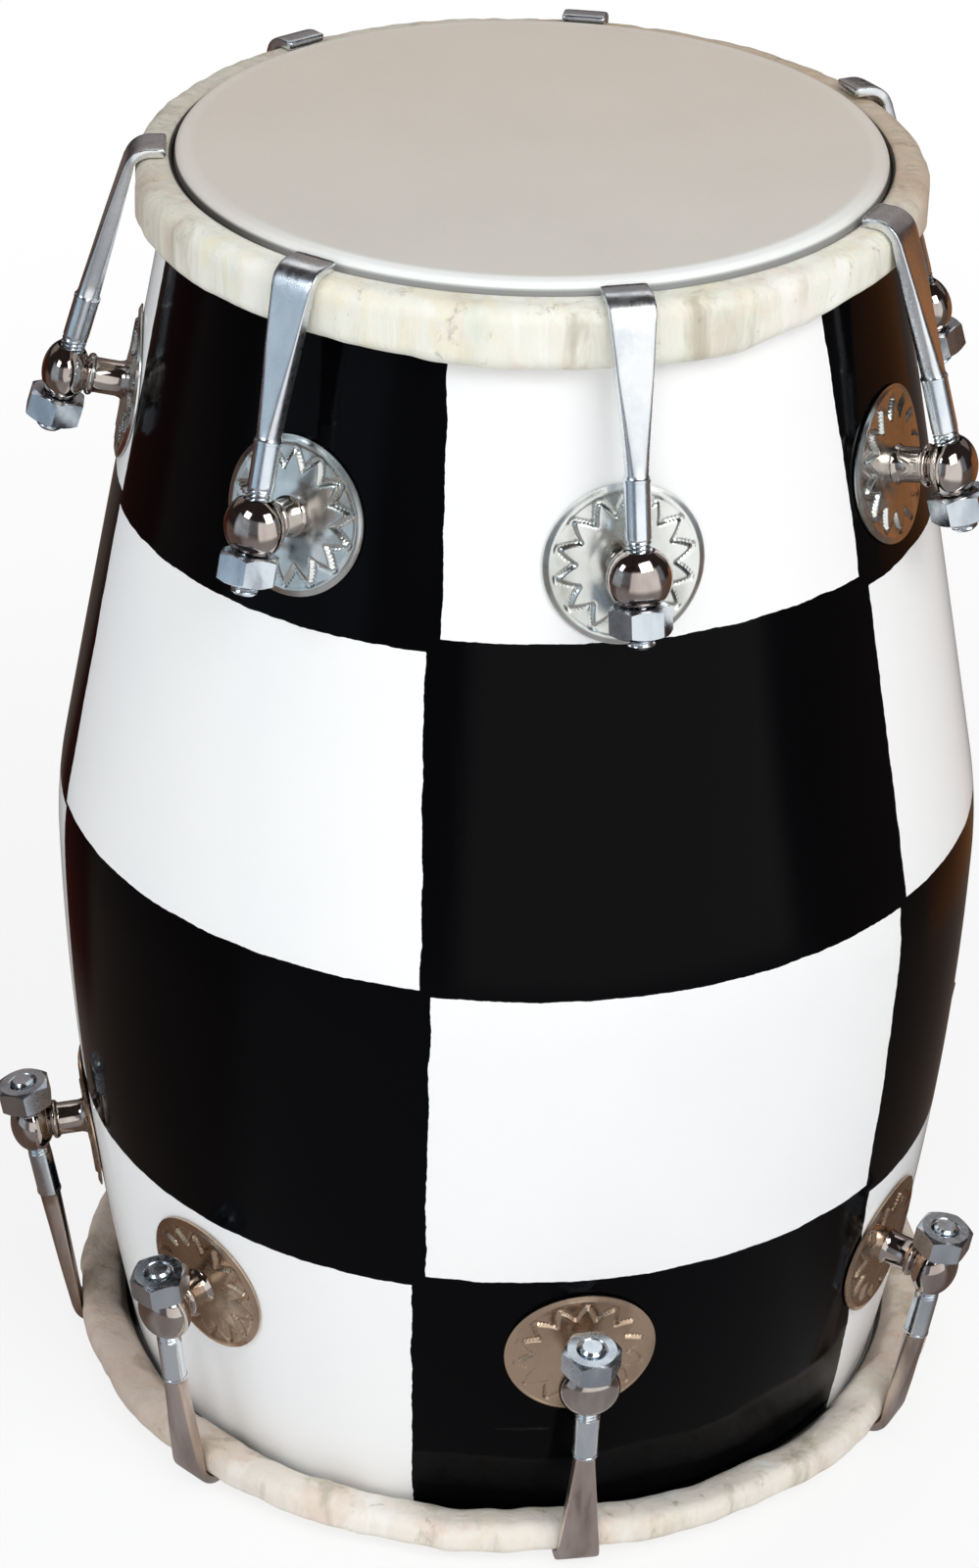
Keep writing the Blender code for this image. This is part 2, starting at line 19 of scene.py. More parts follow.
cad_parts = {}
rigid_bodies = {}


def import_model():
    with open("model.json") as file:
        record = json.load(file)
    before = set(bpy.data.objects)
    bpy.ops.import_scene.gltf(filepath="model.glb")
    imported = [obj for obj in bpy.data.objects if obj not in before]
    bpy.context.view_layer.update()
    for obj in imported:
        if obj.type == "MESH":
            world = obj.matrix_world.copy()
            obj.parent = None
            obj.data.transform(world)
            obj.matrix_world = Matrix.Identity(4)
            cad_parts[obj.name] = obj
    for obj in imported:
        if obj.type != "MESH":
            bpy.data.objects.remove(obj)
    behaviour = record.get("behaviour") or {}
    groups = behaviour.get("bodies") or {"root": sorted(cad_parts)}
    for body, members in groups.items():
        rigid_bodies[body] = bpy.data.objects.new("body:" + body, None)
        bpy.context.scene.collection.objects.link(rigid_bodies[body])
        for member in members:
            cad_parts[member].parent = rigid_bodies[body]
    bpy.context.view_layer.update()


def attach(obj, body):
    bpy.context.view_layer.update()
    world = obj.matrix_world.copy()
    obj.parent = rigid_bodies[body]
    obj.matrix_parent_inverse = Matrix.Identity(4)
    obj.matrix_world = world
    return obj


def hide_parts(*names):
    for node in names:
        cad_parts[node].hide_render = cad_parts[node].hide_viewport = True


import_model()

log = logging.getLogger("dholak")

Profile = list[tuple[float, float]]
Colour = tuple[float, float, float]
Socket = bpy.types.NodeSocket
Operand = float | Socket

SEAT_GAP = 0.0003
BELLY_RADIUS = 0.150
BELLY_BLEND = 0.014
BARREL_WALL = 0.014
HAMMER_SEED = 7


class Finish(Enum):
    """The record's material slots."""

    LACQUER = "black_and_white_lacquer"
    HIDE = "rawhide"
    PASTE = "loading_paste"
    ZINC = "zinc_plated_steel"
    POLISHED = "polished_steel"
    STAMPED = "stamped_steel"


@dataclass(frozen=True)
class End:
    """One end of the drum: its outline, its lapped hoop and its ring of tuning stations.

    Each row of stations holds what Station calls azimuth, rise, skew, standoff and neck.
    """

    name: str
    side: int
    length: float
    rim_radius: float
    swell: float
    crest_drop: float
    hoop_height: float
    hoop_width: float
    hoop_stand_off: float
    hook_reach: float
    rod_spare: float
    stations: tuple[tuple[float, float, float, float, float], ...]

    skin = 0.0012
    collar_gap = 0.00035

    def barrel_radius(self, s: float) -> float:
        """Give the barrel's outer radius at height s."""
        t = s / self.length
        return BELLY_RADIUS + (self.rim_radius - BELLY_RADIUS) * t + 4 * self.swell * t * (1 - t)

    def barrel_slope(self, s: float) -> float:
        """Give the change of the outer radius with s."""
        t = s / self.length
        return (self.rim_radius - BELLY_RADIUS + 4 * self.swell * (1 - 2 * t)) / self.length

    @property
    def eye_height(self) -> float:
        """Give the height at which the eye posts are drilled."""
        return self.length - self.hook_reach

    @property
    def face(self) -> float:
        """Give the height of the playing face."""
        return self.length + SEAT_GAP + self.skin

    @property
    def crest(self) -> float:
        """Give the height of the hoop's face that the hooks bear on."""
        return self.face - self.crest_drop

    @property
    def foot(self) -> float:
        """Give the height of the hoop's edge nearest the belly."""
        return self.crest - self.hoop_height

    @property
    def hoop_radius(self) -> float:
        """Give the hoop's outer radius."""
        return self.rim_radius + self.hoop_width

    @property
    def collar_radius(self) -> float:
        """Give the radius at which the skin turns down outside the rim."""
        return self.rim_radius + self.collar_gap + self.skin


TREBLE = End(
    name="treble",
    side=1,
    length=0.2172,
    rim_radius=0.1080,
    swell=0.0003,
    crest_drop=0.0028,
    hoop_height=0.0180,
    hoop_width=0.0126,
    hoop_stand_off=0.0005,
    hook_reach=0.0772,
    rod_spare=0.0036,
    stations=(
        (-86, 0.0, 0, 0.0205, 0.0260),
        (-33.2, 0.0015, 0, 0.0188, 0.0260),
        (13.9, -0.0028, 0, 0.0168, 0.0295),
        (64, -0.0005, 0, 0.0196, 0.0290),
        (114, 0.0, -6, 0.0180, 0.0285),
        (172, 0.0, 0, 0.0195, 0.0285),
        (221, 0.0, 0, 0.0195, 0.0285),
    ),
)
BASS = End(
    name="bass",
    side=-1,
    length=0.2086,
    rim_radius=0.1288,
    swell=0.0054,
    crest_drop=0.0019,
    hoop_height=0.0112,
    hoop_width=0.0187,
    hoop_stand_off=0.0025,
    hook_reach=0.0756,
    rod_spare=0.0012,
    stations=(
        (-83.3, -0.0040, 0, 0.0205, 0.0285),
        (-43.1, 0.0017, 0, 0.0178, 0.0285),
        (10, -0.0020, 0, 0.0168, 0.0285),
        (62.1, 0.0060, 0, 0.0195, 0.0285),
        (115, 0.0, 0, 0.0195, 0.0285),
        (167, 0.0, 0, 0.0195, 0.0285),
        (220, 0.0, 0, 0.0195, 0.0285),
    ),
)
STRAP_THICKNESS = 0.0030
TREBLE_INSET = 0.0012
BELLY_HEIGHT = BASS.crest + SEAT_GAP + STRAP_THICKNESS


def smoothstep(low: float, high: float, value: float) -> float:
    """Ease from 0 at low to 1 at high.

    Args:
        low: Where the easing starts.
        high: Where it ends.
        value: The number to ease.

    Returns:
        A share from 0 to 1.
    """
    t = min(1.0, max(0.0, (value - low) / (high - low)))
    return t * t * (3 - 2 * t)


def arc(centre: tuple[float, float], radius: float, start: float, end: float, count: int) -> Profile:
    """Give points on an arc.

    Args:
        centre: The arc's centre.
        radius: Its radius.
        start: The first angle, in degrees.
        end: The last angle, in degrees.
        count: How many points.

    Returns:
        The points, both ends included.
    """
    points = []
    for i in range(count):
        angle = math.radians(start + (end - start) * i / (count - 1))
        points.append((centre[0] + radius * math.cos(angle), centre[1] + radius * math.sin(angle)))
    return points


def line(start: tuple[float, float], end: tuple[float, float], count: int) -> Profile:
    """Give evenly spaced points from start up to, but without, end."""
    return [
        (start[0] + (end[0] - start[0]) * i / count, start[1] + (end[1] - start[1]) * i / count)
        for i in range(count)
    ]


def turned(points: Profile, steps: int, closed: bool = False) -> bmesh.types.BMesh:
    """Spin a profile of (radius, height) points once round Z.

    Args:
        points: The profile, either open from axis to axis or a closed ring section.
        steps: How many steps make the full turn.
        closed: Whether the profile closes on itself.

    Returns:
        A closed shape with its faces outwards.
    """
    shape = bmesh.new()
    verts = [shape.verts.new((r, 0.0, z)) for r, z in points]
    edges = [shape.edges.new(pair) for pair in zip(verts, verts[1:], strict=False)]
    if closed:
        edges.append(shape.edges.new((verts[-1], verts[0])))
    bmesh.ops.spin(
        shape,
        geom=verts + edges,
        cent=(0, 0, 0),
        axis=(0, 0, 1),
        angle=2 * math.pi,
        steps=steps,
        use_merge=True,
    )
    bmesh.ops.remove_doubles(shape, verts=shape.verts, dist=1e-6)
    bmesh.ops.recalc_face_normals(shape, faces=shape.faces)
    return shape


def prism(radius: float, length: float, sides: int, place: Matrix) -> bmesh.types.BMesh:
    """Make a cylinder or prism centred on a place and lying along its Z.

    Args:
        radius: The radius to its corners.
        length: Its length.
        sides: How many sides.
        place: Where its middle goes.

    Returns:
        The closed shape.
    """
    shape = bmesh.new()
    bmesh.ops.create_cone(
        shape,
        cap_ends=True,
        segments=sides,
        radius1=radius,
        radius2=radius,
        depth=length,
        matrix=place,
    )
    return shape


def displaced(shape: bmesh.types.BMesh, move: Callable[[Vector], Vector]) -> bmesh.types.BMesh:
    """Move every point of a shape by a rule.

    Args:
        shape: The shape to change.
        move: A rule from a point to its new place.

    Returns:
        The same shape.
    """
    for vert in shape.verts:
        vert.co = move(vert.co)
    return shape


def placed(shape: bmesh.types.BMesh, place: Matrix) -> bmesh.types.BMesh:
    """Put a shape in its place."""
    bmesh.ops.transform(shape, matrix=place, verts=shape.verts)
    return shape


def as_mesh(shape: bmesh.types.BMesh, name: str) -> bpy.types.Mesh:
    """Turn a shape into a mesh and free it."""
    mesh = bpy.data.meshes.new(name)
    shape.to_mesh(mesh)
    shape.free()
    return mesh


def carved(
    shape: bmesh.types.BMesh, tools: Sequence[tuple[bmesh.types.BMesh, str]], name: str
) -> bpy.types.Mesh:
    """Cut, join or intersect a shape with others.

    Args:
        shape: The shape to work on.
        tools: Pairs of a tool shape and the name of the Boolean operation.
        name: The name of the mesh.

    Returns:
        The finished mesh.
    """
    scene_objects = bpy.context.scene.collection.objects
    made = [bpy.data.objects.new(name, as_mesh(shape, name))]
    for index, (tool, operation) in enumerate(tools):
        made.append(bpy.data.objects.new(f"tool_{index}", as_mesh(tool, f"tool_{index}")))
        boolean = made[0].modifiers.new(operation.lower(), "BOOLEAN")
        boolean.operation = operation
        boolean.solver = "EXACT"
        boolean.object = made[-1]
    for each in made:
        scene_objects.link(each)
    bpy.context.view_layer.update()
    evaluated = made[0].evaluated_get(bpy.context.evaluated_depsgraph_get())
    mesh = bpy.data.meshes.new_from_object(evaluated)
    mesh.name = name
    for each in made:
        bpy.data.objects.remove(each, do_unlink=True)
    return mesh


class Material:
    """A node material of one finish, built by plain calls."""

    def __init__(self, name: str) -> None:
        """Start a material that has its shader and object coordinates."""
        self.data = bpy.data.materials.new(name)
        self.data.use_nodes = True
        self.tree = self.data.node_tree
        self.shader = self.tree.nodes["Principled BSDF"]
        self.point = self.node("ShaderNodeTexCoord").outputs["Object"]

    def node(self, kind: str, **settings: object) -> bpy.types.Node:
        """Add a node and set its properties."""
        node = self.tree.nodes.new(kind)
        for key, value in settings.items():
            setattr(node, key, value)
        return node

    def feed(self, target: Socket, value: Operand | Sequence[float]) -> None:
        """Link a socket, or set its value, on a target input."""
        if isinstance(value, bpy.types.NodeSocket):
            self.tree.links.new(value, target)
        else:
            target.default_value = value

    def math(self, operation: str, a: Operand, b: Operand = 0.0, c: Operand = 0.0) -> Socket:
        """Do one sum.

        Args:
            operation: The Math node's operation.
            a: The first value.
            b: The second value.
            c: The third value.

        Returns:
            The result's socket.
        """
        node = self.node("ShaderNodeMath", operation=operation)
        for target, value in zip(node.inputs, (a, b, c), strict=True):
            self.feed(target, value)
        return node.outputs[0]

    def ease(
        self,
        value: Operand,
        low: Operand,
        high: Operand,
        out_low: float = 0.0,
        out_high: float = 1.0,
    ) -> Socket:
        """Map a value smoothly from one range to another, clamped at both ends.

        Args:
            value: The value to map.
            low: Where the easing starts.
            high: Where it ends.
            out_low: The result at low and before it.
            out_high: The result at high and past it.

        Returns:
            The result's socket.
        """
        node = self.node("ShaderNodeMapRange", interpolation_type="SMOOTHSTEP")
        for target, number in zip(node.inputs, (value, low, high, out_low, out_high), strict=False):
            self.feed(target, number)
        return node.outputs[0]

    def noise(
        self,
        scale: float,
        detail: float = 3.0,
        stretch: Sequence[float] = (1, 1, 1),
        distortion: float = 0.0,
        roughness: float = 0.5,
    ) -> Socket:
        """Give a noise value over the object.

        Args:
            scale: How fine the noise is.
            detail: How many octaves it has.
            stretch: Its frequency along each axis; less than 1 draws it out.
            distortion: How much it swirls.
            roughness: How strong its finer octaves are.

        Returns:
            The noise's socket.
        """
        mapping = self.node("ShaderNodeMapping")
        self.feed(mapping.inputs["Vector"], self.point)
        mapping.inputs["Scale"].default_value = stretch
        node = self.node("ShaderNodeTexNoise")
        self.feed(node.inputs["Vector"], mapping.outputs[0])
        node.inputs["Scale"].default_value = scale
        node.inputs["Detail"].default_value = detail
        node.inputs["Roughness"].default_value = roughness
        node.inputs["Distortion"].default_value = distortion
        return node.outputs["Fac"]

    def mix(self, share: Operand, first: object, second: object, blend: str = "MIX") -> Socket:
        """Mix two colours.

        Args:
            share: How much of the second one shows.
            first: A colour or a socket.
            second: A colour or a socket.
            blend: The way of mixing.

        Returns:
            The colour's socket.
        """
        node = self.node("ShaderNodeMix", data_type="RGBA", blend_type=blend)
        self.feed(node.inputs[0], share)
        for target, value in ((node.inputs[6], first), (node.inputs[7], second)):
            self.feed(target, value if isinstance(value, bpy.types.NodeSocket) else (*value, 1.0))
        return node.outputs[2]

    def axes(self) -> tuple[Socket, Socket, Socket]:
        """Give the three object coordinates."""
        split = self.node("ShaderNodeSeparateXYZ")
        self.feed(split.inputs[0], self.point)
        return split.outputs[0], split.outputs[1], split.outputs[2]

    def around(self) -> tuple[Socket, Socket]:
        """Give the distance from the drum's axis, and the angle from the front in degrees."""
        x, y, _ = self.axes()
        squares = self.math("ADD", self.math("MULTIPLY", x, x), self.math("MULTIPLY", y, y))
        radius = self.math("SQRT", squares)
        angle = self.math("ARCTAN2", x, self.math("MULTIPLY", y, -1.0))
        return radius, self.math("DEGREES", angle)

    def bump(self, height: Socket, distance: float, strength: float = 1.0) -> None:
        """Feed a height field to the shader's normal."""
        node = self.node("ShaderNodeBump")
        node.inputs["Strength"].default_value = strength
        node.inputs["Distance"].default_value = distance
        self.feed(node.inputs["Height"], height)
        self.feed(self.shader.inputs["Normal"], node.outputs[0])

    def colour(self, value: object) -> None:
        """Feed the base colour."""
        shade = value if isinstance(value, bpy.types.NodeSocket) else (*value, 1.0)
        self.feed(self.shader.inputs["Base Color"], shade)

    def rough(self, value: Operand) -> None:
        """Feed the roughness."""
        self.feed(self.shader.inputs["Roughness"], value)

    def constant(self, name: str, value: float) -> None:
        """Set one of the shader's own sockets."""
        self.shader.inputs[name].default_value = value

    def blend(self, share: Operand, first: Socket, second: Socket) -> None:
        """Show a blend of two shaders on the surface.

        Args:
            share: How much of the second one shows.
            first: A shader.
            second: A shader.
        """
        mixed = self.node("ShaderNodeMixShader")
        for target, value in zip(mixed.inputs, (share, first, second), strict=True):
            self.feed(target, value)
        self.feed(self.tree.nodes["Material Output"].inputs["Surface"], mixed.outputs[0])


@dataclass(frozen=True)
class CheckRow:
    """One row of painted checks: its heights, and its two front seams at the top and at the foot."""

    top: float
    foot: float
    centre: tuple[float, float]
    right: tuple[float, float]
    black_first: bool


@dataclass(frozen=True)
class CheckedLacquer:
    """High-gloss lacquer, hand painted in black and white checks over the turned barrel."""

    white: Colour = (0.93, 0.93, 0.925)
    white_cloud: Colour = (0.88, 0.89, 0.90)
    black: Colour = (0.0015, 0.0015, 0.002)
    # Grey streaks towards the foot: scuffed lacquer with a painted sheen on the black.
    black_scuff_and_sheen: Colour = (0.09, 0.09, 0.09)
    scuff_and_sheen_below: float = 0.075
    left_seam: float = -75.0
    back_seams: tuple[float, ...] = (111.8, 169.5, 227.3)
    rows: tuple[CheckRow, ...] = (
        CheckRow(0.440, 0.3233, (-11.9, -10.4), (49.0, 52.0), True),
        CheckRow(0.3233, 0.2165, (-12.2, -10.6), (54.0, 55.0), False),
        CheckRow(0.2165, 0.1079, (-9.2, -9.7), (53.7, 52.9), True),
        CheckRow(0.1079, 0.0, (-11.5, -12.4), (54.0, 58.0), False),
    )
    overreach: tuple[float, ...] = (0.0, 0.0022, 0.0009, 0.0022, 0.0)
    wobble_degrees: float = 0.84
    wobble_height: float = 0.001575

    def black_share(self, made: Material) -> Socket:
        """Build the pattern of the checks.

        Args:
            made: The material that the nodes go to.

        Returns:
            1 where the paint is black and 0 where it is white.
        """
        _, angle = made.around()
        height = made.axes()[2]
        ragged = made.math("SUBTRACT", made.noise(70.0, 2.0), 0.5)
        fine = made.math("SUBTRACT", made.noise(420.0, 2.0), 0.5)
        shift = made.math("ADD", ragged, made.math("MULTIPLY", fine, 0.35))
        angle = made.math("ADD", angle, made.math("MULTIPLY", shift, self.wobble_degrees))
        height = made.math("ADD", height, made.math("MULTIPLY", shift, self.wobble_height))
        turn = made.math("WRAP", angle, self.left_seam + 360.0, self.left_seam)
        total: Operand = 0.0
        for index, row in enumerate(self.rows):
            count: Operand = 0.0 if row.black_first else 1.0
            for top, foot in (row.centre, row.right, *((b, b) for b in self.back_seams)):
                seam = made.ease(height, row.foot, row.top, foot, top) if top != foot else top
                count = made.math("ADD", made.math("GREATER_THAN", turn, seam), count)
            white = made.math("MODULO", count, 2.0)
            above = made.math("LESS_THAN", height, row.top + self.overreach[index])
            below = made.math("GREATER_THAN", height, row.foot - self.overreach[index + 1])
            inside = made.math("MULTIPLY", above, below)
            black = made.math("MULTIPLY", inside, made.math("SUBTRACT", 1.0, white))
            total = made.math("MAXIMUM", black, total)
        return total

    def build(self) -> bpy.types.Material:
        """Make the material."""
        made = Material("checked_lacquer")
        black = self.black_share(made)
        cloud = made.ease(made.noise(9.0, 4.0, (1, 1, 0.5)), 0.35, 0.75)
        white = made.mix(cloud, self.white, self.white_cloud)
        # Grey streaks on the black towards the foot: scuffed, rougher lacquer with a painted sheen.
        streak = made.noise(26.0, 6.0, (1, 1, 7), 0.6)
        scuff_and_sheen = made.ease(streak, 0.70, 0.80)
        low = made.ease(made.axes()[2], self.scuff_and_sheen_below, 0.020)
        dull = made.math("MULTIPLY", scuff_and_sheen, low)
        dark = made.mix(made.math("MULTIPLY", dull, 0.5), self.black, self.black_scuff_and_sheen)
        made.colour(made.mix(black, white, dark))
        smear = made.ease(made.noise(15.0, 5.0), 0.3, 0.8, 0.05, 0.14)
        made.rough(made.math("ADD", smear, made.math("MULTIPLY", dull, 0.3)))
        peel = made.math("MULTIPLY", made.noise(330.0, 2.0), 0.25)
        ripple = made.math("MULTIPLY", made.noise(34.0, 2.0, (1, 1, 0.6)), 1.0)
        edge = made.math("MULTIPLY", black, 0.5)
        made.bump(made.math("ADD", made.math("ADD", peel, ripple), edge), 0.00012, 0.5)
        made.constant("Specular IOR Level", 0.065)
        return made.data


@dataclass(frozen=True)
class TurnedWood:
    """Bare turned mango wood, on the barrel's inside."""

    light: Colour = (0.42, 0.25, 0.12)
    dark: Colour = (0.22, 0.11, 0.045)

    def build(self) -> bpy.types.Material:
        """Make the material."""
        made = Material("turned_wood")
        grain = made.noise(60.0, 6.0, (1, 1, 0.08), 1.2)
        rings = made.noise(700.0, 2.0, (0.05, 0.05, 1))
        made.colour(made.mix(made.ease(grain, 0.3, 0.7), self.light, self.dark))
        made.rough(made.ease(grain, 0.2, 0.8, 0.6, 0.85))
        made.bump(made.math("ADD", grain, made.math("MULTIPLY", rings, 0.6)), 0.0003)
        return made.data


@dataclass(frozen=True)
class Rawhide:
    """Cream goat hide: smooth and greyish on the playing face, mottled and wrinkled on the hoop.

    Painted shade is laid on the hoop's left and right sides between two angles from the front, up to
    a share.
    One more angle marks where the painted highlight on the skin's shoulder is strongest.
    """

    end: End
    inset: float = 0.0
    face_front: Colour = (0.68, 0.64, 0.585)
    face_back: Colour = (0.70, 0.62, 0.54)
    face_cloud: Colour = (0.45, 0.40, 0.35)
    face_speck: Colour = (0.74, 0.71, 0.66)
    # shoulder: a painted highlight on the skin's rounded edge.
    shoulder: Colour = (0.90, 0.91, 0.89)
    hoop_colour: Colour = (0.84, 0.83, 0.74)
    # The next two are a painted highlight on the hoop's ridges and painted shade in its creases.
    crease_shade: Colour = (0.46, 0.42, 0.32)
    ridge_highlight: Colour = (0.93, 0.93, 0.89)
    # left and right: painted shade on the hoop's sides, each a start angle, a stop angle and a share.
    left: tuple[float, float, float] = (-48.0, -75.0, 0.80)
    left_shade_tint: Colour = (0.72, 0.66, 0.62)
    right: tuple[float, float, float] = (60.0, 82.0, 1.0)
    right_shade_tint: Colour = (0.70, 0.58, 0.50)
    tints: tuple[Colour, ...] = ((0.68, 0.72, 0.61), (0.76, 0.64, 0.55), (0.83, 0.76, 0.56))
    smudge: Colour = (0.30, 0.26, 0.20)
    # groove: a dark line where the skin turns down into the hoop, dirt together with painted shade.
    groove: Colour = (0.035, 0.03, 0.025)
    # The angle from the front at which the painted shoulder highlight is strongest.
    highlight_front: float = 12.0

    def playing_face(self, made: Material) -> Socket:
        """Give the colour of the stretched skin, a little warmer towards the back."""
        _, y, _ = made.axes()
        skin = made.mix(made.ease(y, -0.10, 0.08), self.face_front, self.face_back)
        cloud = made.ease(made.noise(24.0, 5.0, roughness=0.6), 0.34, 0.70, 0.0, 0.05)
        skin = made.mix(cloud, skin, self.face_cloud)
        speck = made.ease(made.noise(420.0, 4.0), 0.60, 0.80, 0.0, 0.10)
        return made.mix(speck, skin, self.face_speck)

    def hoop(self, made: Material, veins: Socket, angle: Socket) -> Socket:
        """Give the colour of the lapped hide, mottled with faint green, pink and yellow, with painted
        shade and highlights.
        """
        shade: object = self.hoop_colour
        for index, tint in enumerate(self.tints):
            spot = made.noise(42.0 + 17.0 * index, 5.0, (1, 1, 0.45), 0.25, 0.6)
            shade = made.mix(made.ease(spot, 0.50, 0.66, 0.0, 0.55), shade, tint)
        # Painted shade in the creases and a painted highlight on the ridges, following the pattern of
        # veins.
        shade = made.mix(made.ease(veins, 0.53, 0.68, 0.0, 0.70), shade, self.crease_shade)
        shade = made.mix(made.ease(veins, 0.45, 0.34, 0.0, 0.55), shade, self.ridge_highlight)
        # Painted shade: the hoop is darkened towards its left and right sides, which turn away from
        # the light.
        side_shade = ((self.left, self.left_shade_tint), (self.right, self.right_shade_tint))
        for (start, stop, share), tint in side_shade:
            shade = made.mix(made.ease(angle, start, stop, 0.0, share), shade, tint, "MULTIPLY")
        speck = made.ease(made.noise(150.0, 5.0, (1, 1, 0.6), 0.3, 0.7), 0.60, 0.70, 0.0, 0.5)
        return made.mix(speck, shade, self.smudge)

    def build(self) -> bpy.types.Material:
        """Make the material."""
        end = self.end
        made = Material(f"{end.name}_rawhide")
        radius, angle = made.around()
        height = made.axes()[2]
        collar = end.collar_radius - self.inset
        face = BELLY_HEIGHT + end.side * end.face
        depth = made.math("MULTIPLY", made.math("SUBTRACT", face, height), float(end.side))
        veins = made.noise(62.0, 6.0, (1, 1, 0.15), 0.35, 0.6)
        aside = made.math("ABSOLUTE", made.math("SUBTRACT", angle, self.highlight_front))
        # Painted highlight: the skin's rounded shoulder is painted near white, strongest near the
        # front and fading to the sides.
        shoulder_highlight = made.ease(aside, 72.0, 34.0, 0.15, 1.0)
        edge = made.ease(radius, collar - 0.0066, collar - 0.0036)
        skin = made.mix(made.math("MULTIPLY", edge, shoulder_highlight), self.playing_face(made), self.shoulder)
        outside = made.ease(radius, collar + 0.0002, collar + 0.0012)
        shade = made.mix(outside, skin, self.hoop(made, veins, angle))
        # Dirt with painted shade: a dark line in the groove where the skin meets the hoop, wider and
        # darker towards the sides.
        width = made.ease(aside, 45.0, 80.0, 0.0006, 0.0019)
        near = made.ease(radius, collar - 0.0003, collar + 0.0001)
        far, close = (made.math("ADD", width, collar + d) for d in (0.0003, -0.0002))
        past = made.ease(radius, far, close)
        below = made.ease(depth, 0.0010, 0.0020)
        groove_dirt_and_shade = made.math("MULTIPLY", made.math("MULTIPLY", near, past), below)
        groove_dirt_and_shade_share = made.math("MULTIPLY", groove_dirt_and_shade, made.ease(aside, 40.0, 70.0, 0.70, 0.95))
        shade = made.mix(groove_dirt_and_shade_share, shade, self.groove)
        made.colour(shade)
        blotch = made.noise(28.0, 6.0, roughness=0.62)
        made.rough(made.ease(blotch, 0.2, 0.8, 0.46, 0.66))
        pores = made.math("MULTIPLY", made.noise(900.0, 3.0), 0.25)
        creases = made.math("MULTIPLY", made.math("MULTIPLY", veins, outside), 5.0)
        fine = made.math("ADD", pores, creases)
        made.bump(made.math("ADD", fine, made.math("MULTIPLY", blotch, 0.3)), 0.0005, 0.8)
        made.constant("Specular IOR Level", 0.30)
        made.constant("Subsurface Weight", 0.06)
        made.constant("Subsurface Scale", 0.002)
        return made.data


@dataclass(frozen=True)
class Metal:
    """A metal with worn, uneven plating."""

    name: str
    light: Colour
    dark: Colour
    smooth: float
    dull: float
    scale: float
    relief: float
    tarnish: Colour | None = None
    draw: float = 0.35

    def build(self) -> bpy.types.Material:
        """Make the material."""
        made = Material(self.name)
        patch = made.noise(self.scale, 3.0, (1, 1, self.draw), roughness=0.5)
        grain = made.noise(self.scale * 6, 2.0)
        shade = made.mix(made.ease(patch, 0.35, 0.68), self.light, self.dark)
        if self.tarnish:
            mark = made.noise(self.scale * 2.0, 3.0, (1, 1, self.draw), 0.4, 0.55)
            spots = made.ease(mark, 0.56, 0.76, 0.0, 0.4)
            shade = made.mix(spots, shade, self.tarnish)
        made.colour(shade)
        made.rough(made.ease(made.math("ADD", patch, grain), 0.7, 1.3, self.smooth, self.dull))
        made.bump(made.math("ADD", made.math("MULTIPLY", grain, 0.15), patch), self.relief, 0.6)
        made.constant("Metallic", 1.0)
        return made.data


@dataclass(frozen=True)
class Paste:
    """Dried loading paste, dark and finely cracked."""

    colour: Colour = (0.035, 0.025, 0.02)
    crack: Colour = (0.008, 0.006, 0.005)

    def build(self) -> bpy.types.Material:
        """Make the material."""
        made = Material("dried_paste")
        cells = made.node("ShaderNodeTexVoronoi", feature="DISTANCE_TO_EDGE")
        made.feed(cells.inputs["Vector"], made.point)
        cells.inputs["Scale"].default_value = 220.0
        crack = made.ease(cells.outputs["Distance"], 0.0, 0.08)
        made.colour(made.mix(crack, self.crack, self.colour))
        made.rough(0.8)
        made.bump(crack, 0.0003)
        return made.data


TREBLE_HIDE = Rawhide(TREBLE, inset=TREBLE_INSET)
BASS_HIDE = Rawhide(
    BASS,
    hoop_colour=(0.87, 0.81, 0.73),
    tints=((0.70, 0.70, 0.61), (0.76, 0.58, 0.49), (0.82, 0.72, 0.57)),
    # Painted shade on the bass hoop's left and right sides.
    left=(-22.0, -58.0, 0.9),
    left_shade_tint=(0.66, 0.57, 0.53),
    right=(48.0, 76.0, 0.9),
    right_shade_tint=(0.78, 0.71, 0.68),
)
ZINC = Metal(
    "zinc_plate",
    light=(0.90, 0.96, 1.0),
    dark=(0.70, 0.78, 0.86),
    smooth=0.16,
    dull=0.28,
    scale=90.0,
    relief=0.00005,
)
NUT_ZINC = Metal(
    "zinc_nut",
    light=(0.72, 0.78, 0.84),
    dark=(0.50, 0.55, 0.62),
    smooth=0.16,
    dull=0.30,
    scale=110.0,
    relief=0.00008,
    tarnish=(0.22, 0.24, 0.27),
)
TREBLE_STRAP = Metal(
    "forged_strap",
    light=(0.92, 0.95, 0.97),
    dark=(0.70, 0.74, 0.79),
    smooth=0.22,
    dull=0.34,
    scale=70.0,
    relief=0.00004,
    tarnish=(0.50, 0.54, 0.58),
)
BASS_STRAP = Metal(
    "worn_strap",
    light=(0.75, 0.65, 0.59),
    dark=(0.52, 0.43, 0.38),
    smooth=0.28,
    dull=0.42,
    scale=110.0,
    relief=0.00006,
    tarnish=(0.24, 0.14, 0.12),
    draw=0.15,
)
CHROME = Metal(
    "polished_ball",
    light=(0.60, 0.54, 0.50),
    dark=(0.44, 0.37, 0.34),
    smooth=0.04,
    dull=0.09,
    scale=140.0,
    relief=0.00002,
)
SILVER_SHEET = Metal(
    "stamped_silver",
    light=(0.90, 0.92, 0.90),
    dark=(0.60, 0.62, 0.58),
    smooth=0.16,
    dull=0.28,
    scale=60.0,
    relief=0.00006,
    tarnish=(0.36, 0.36, 0.31),
)
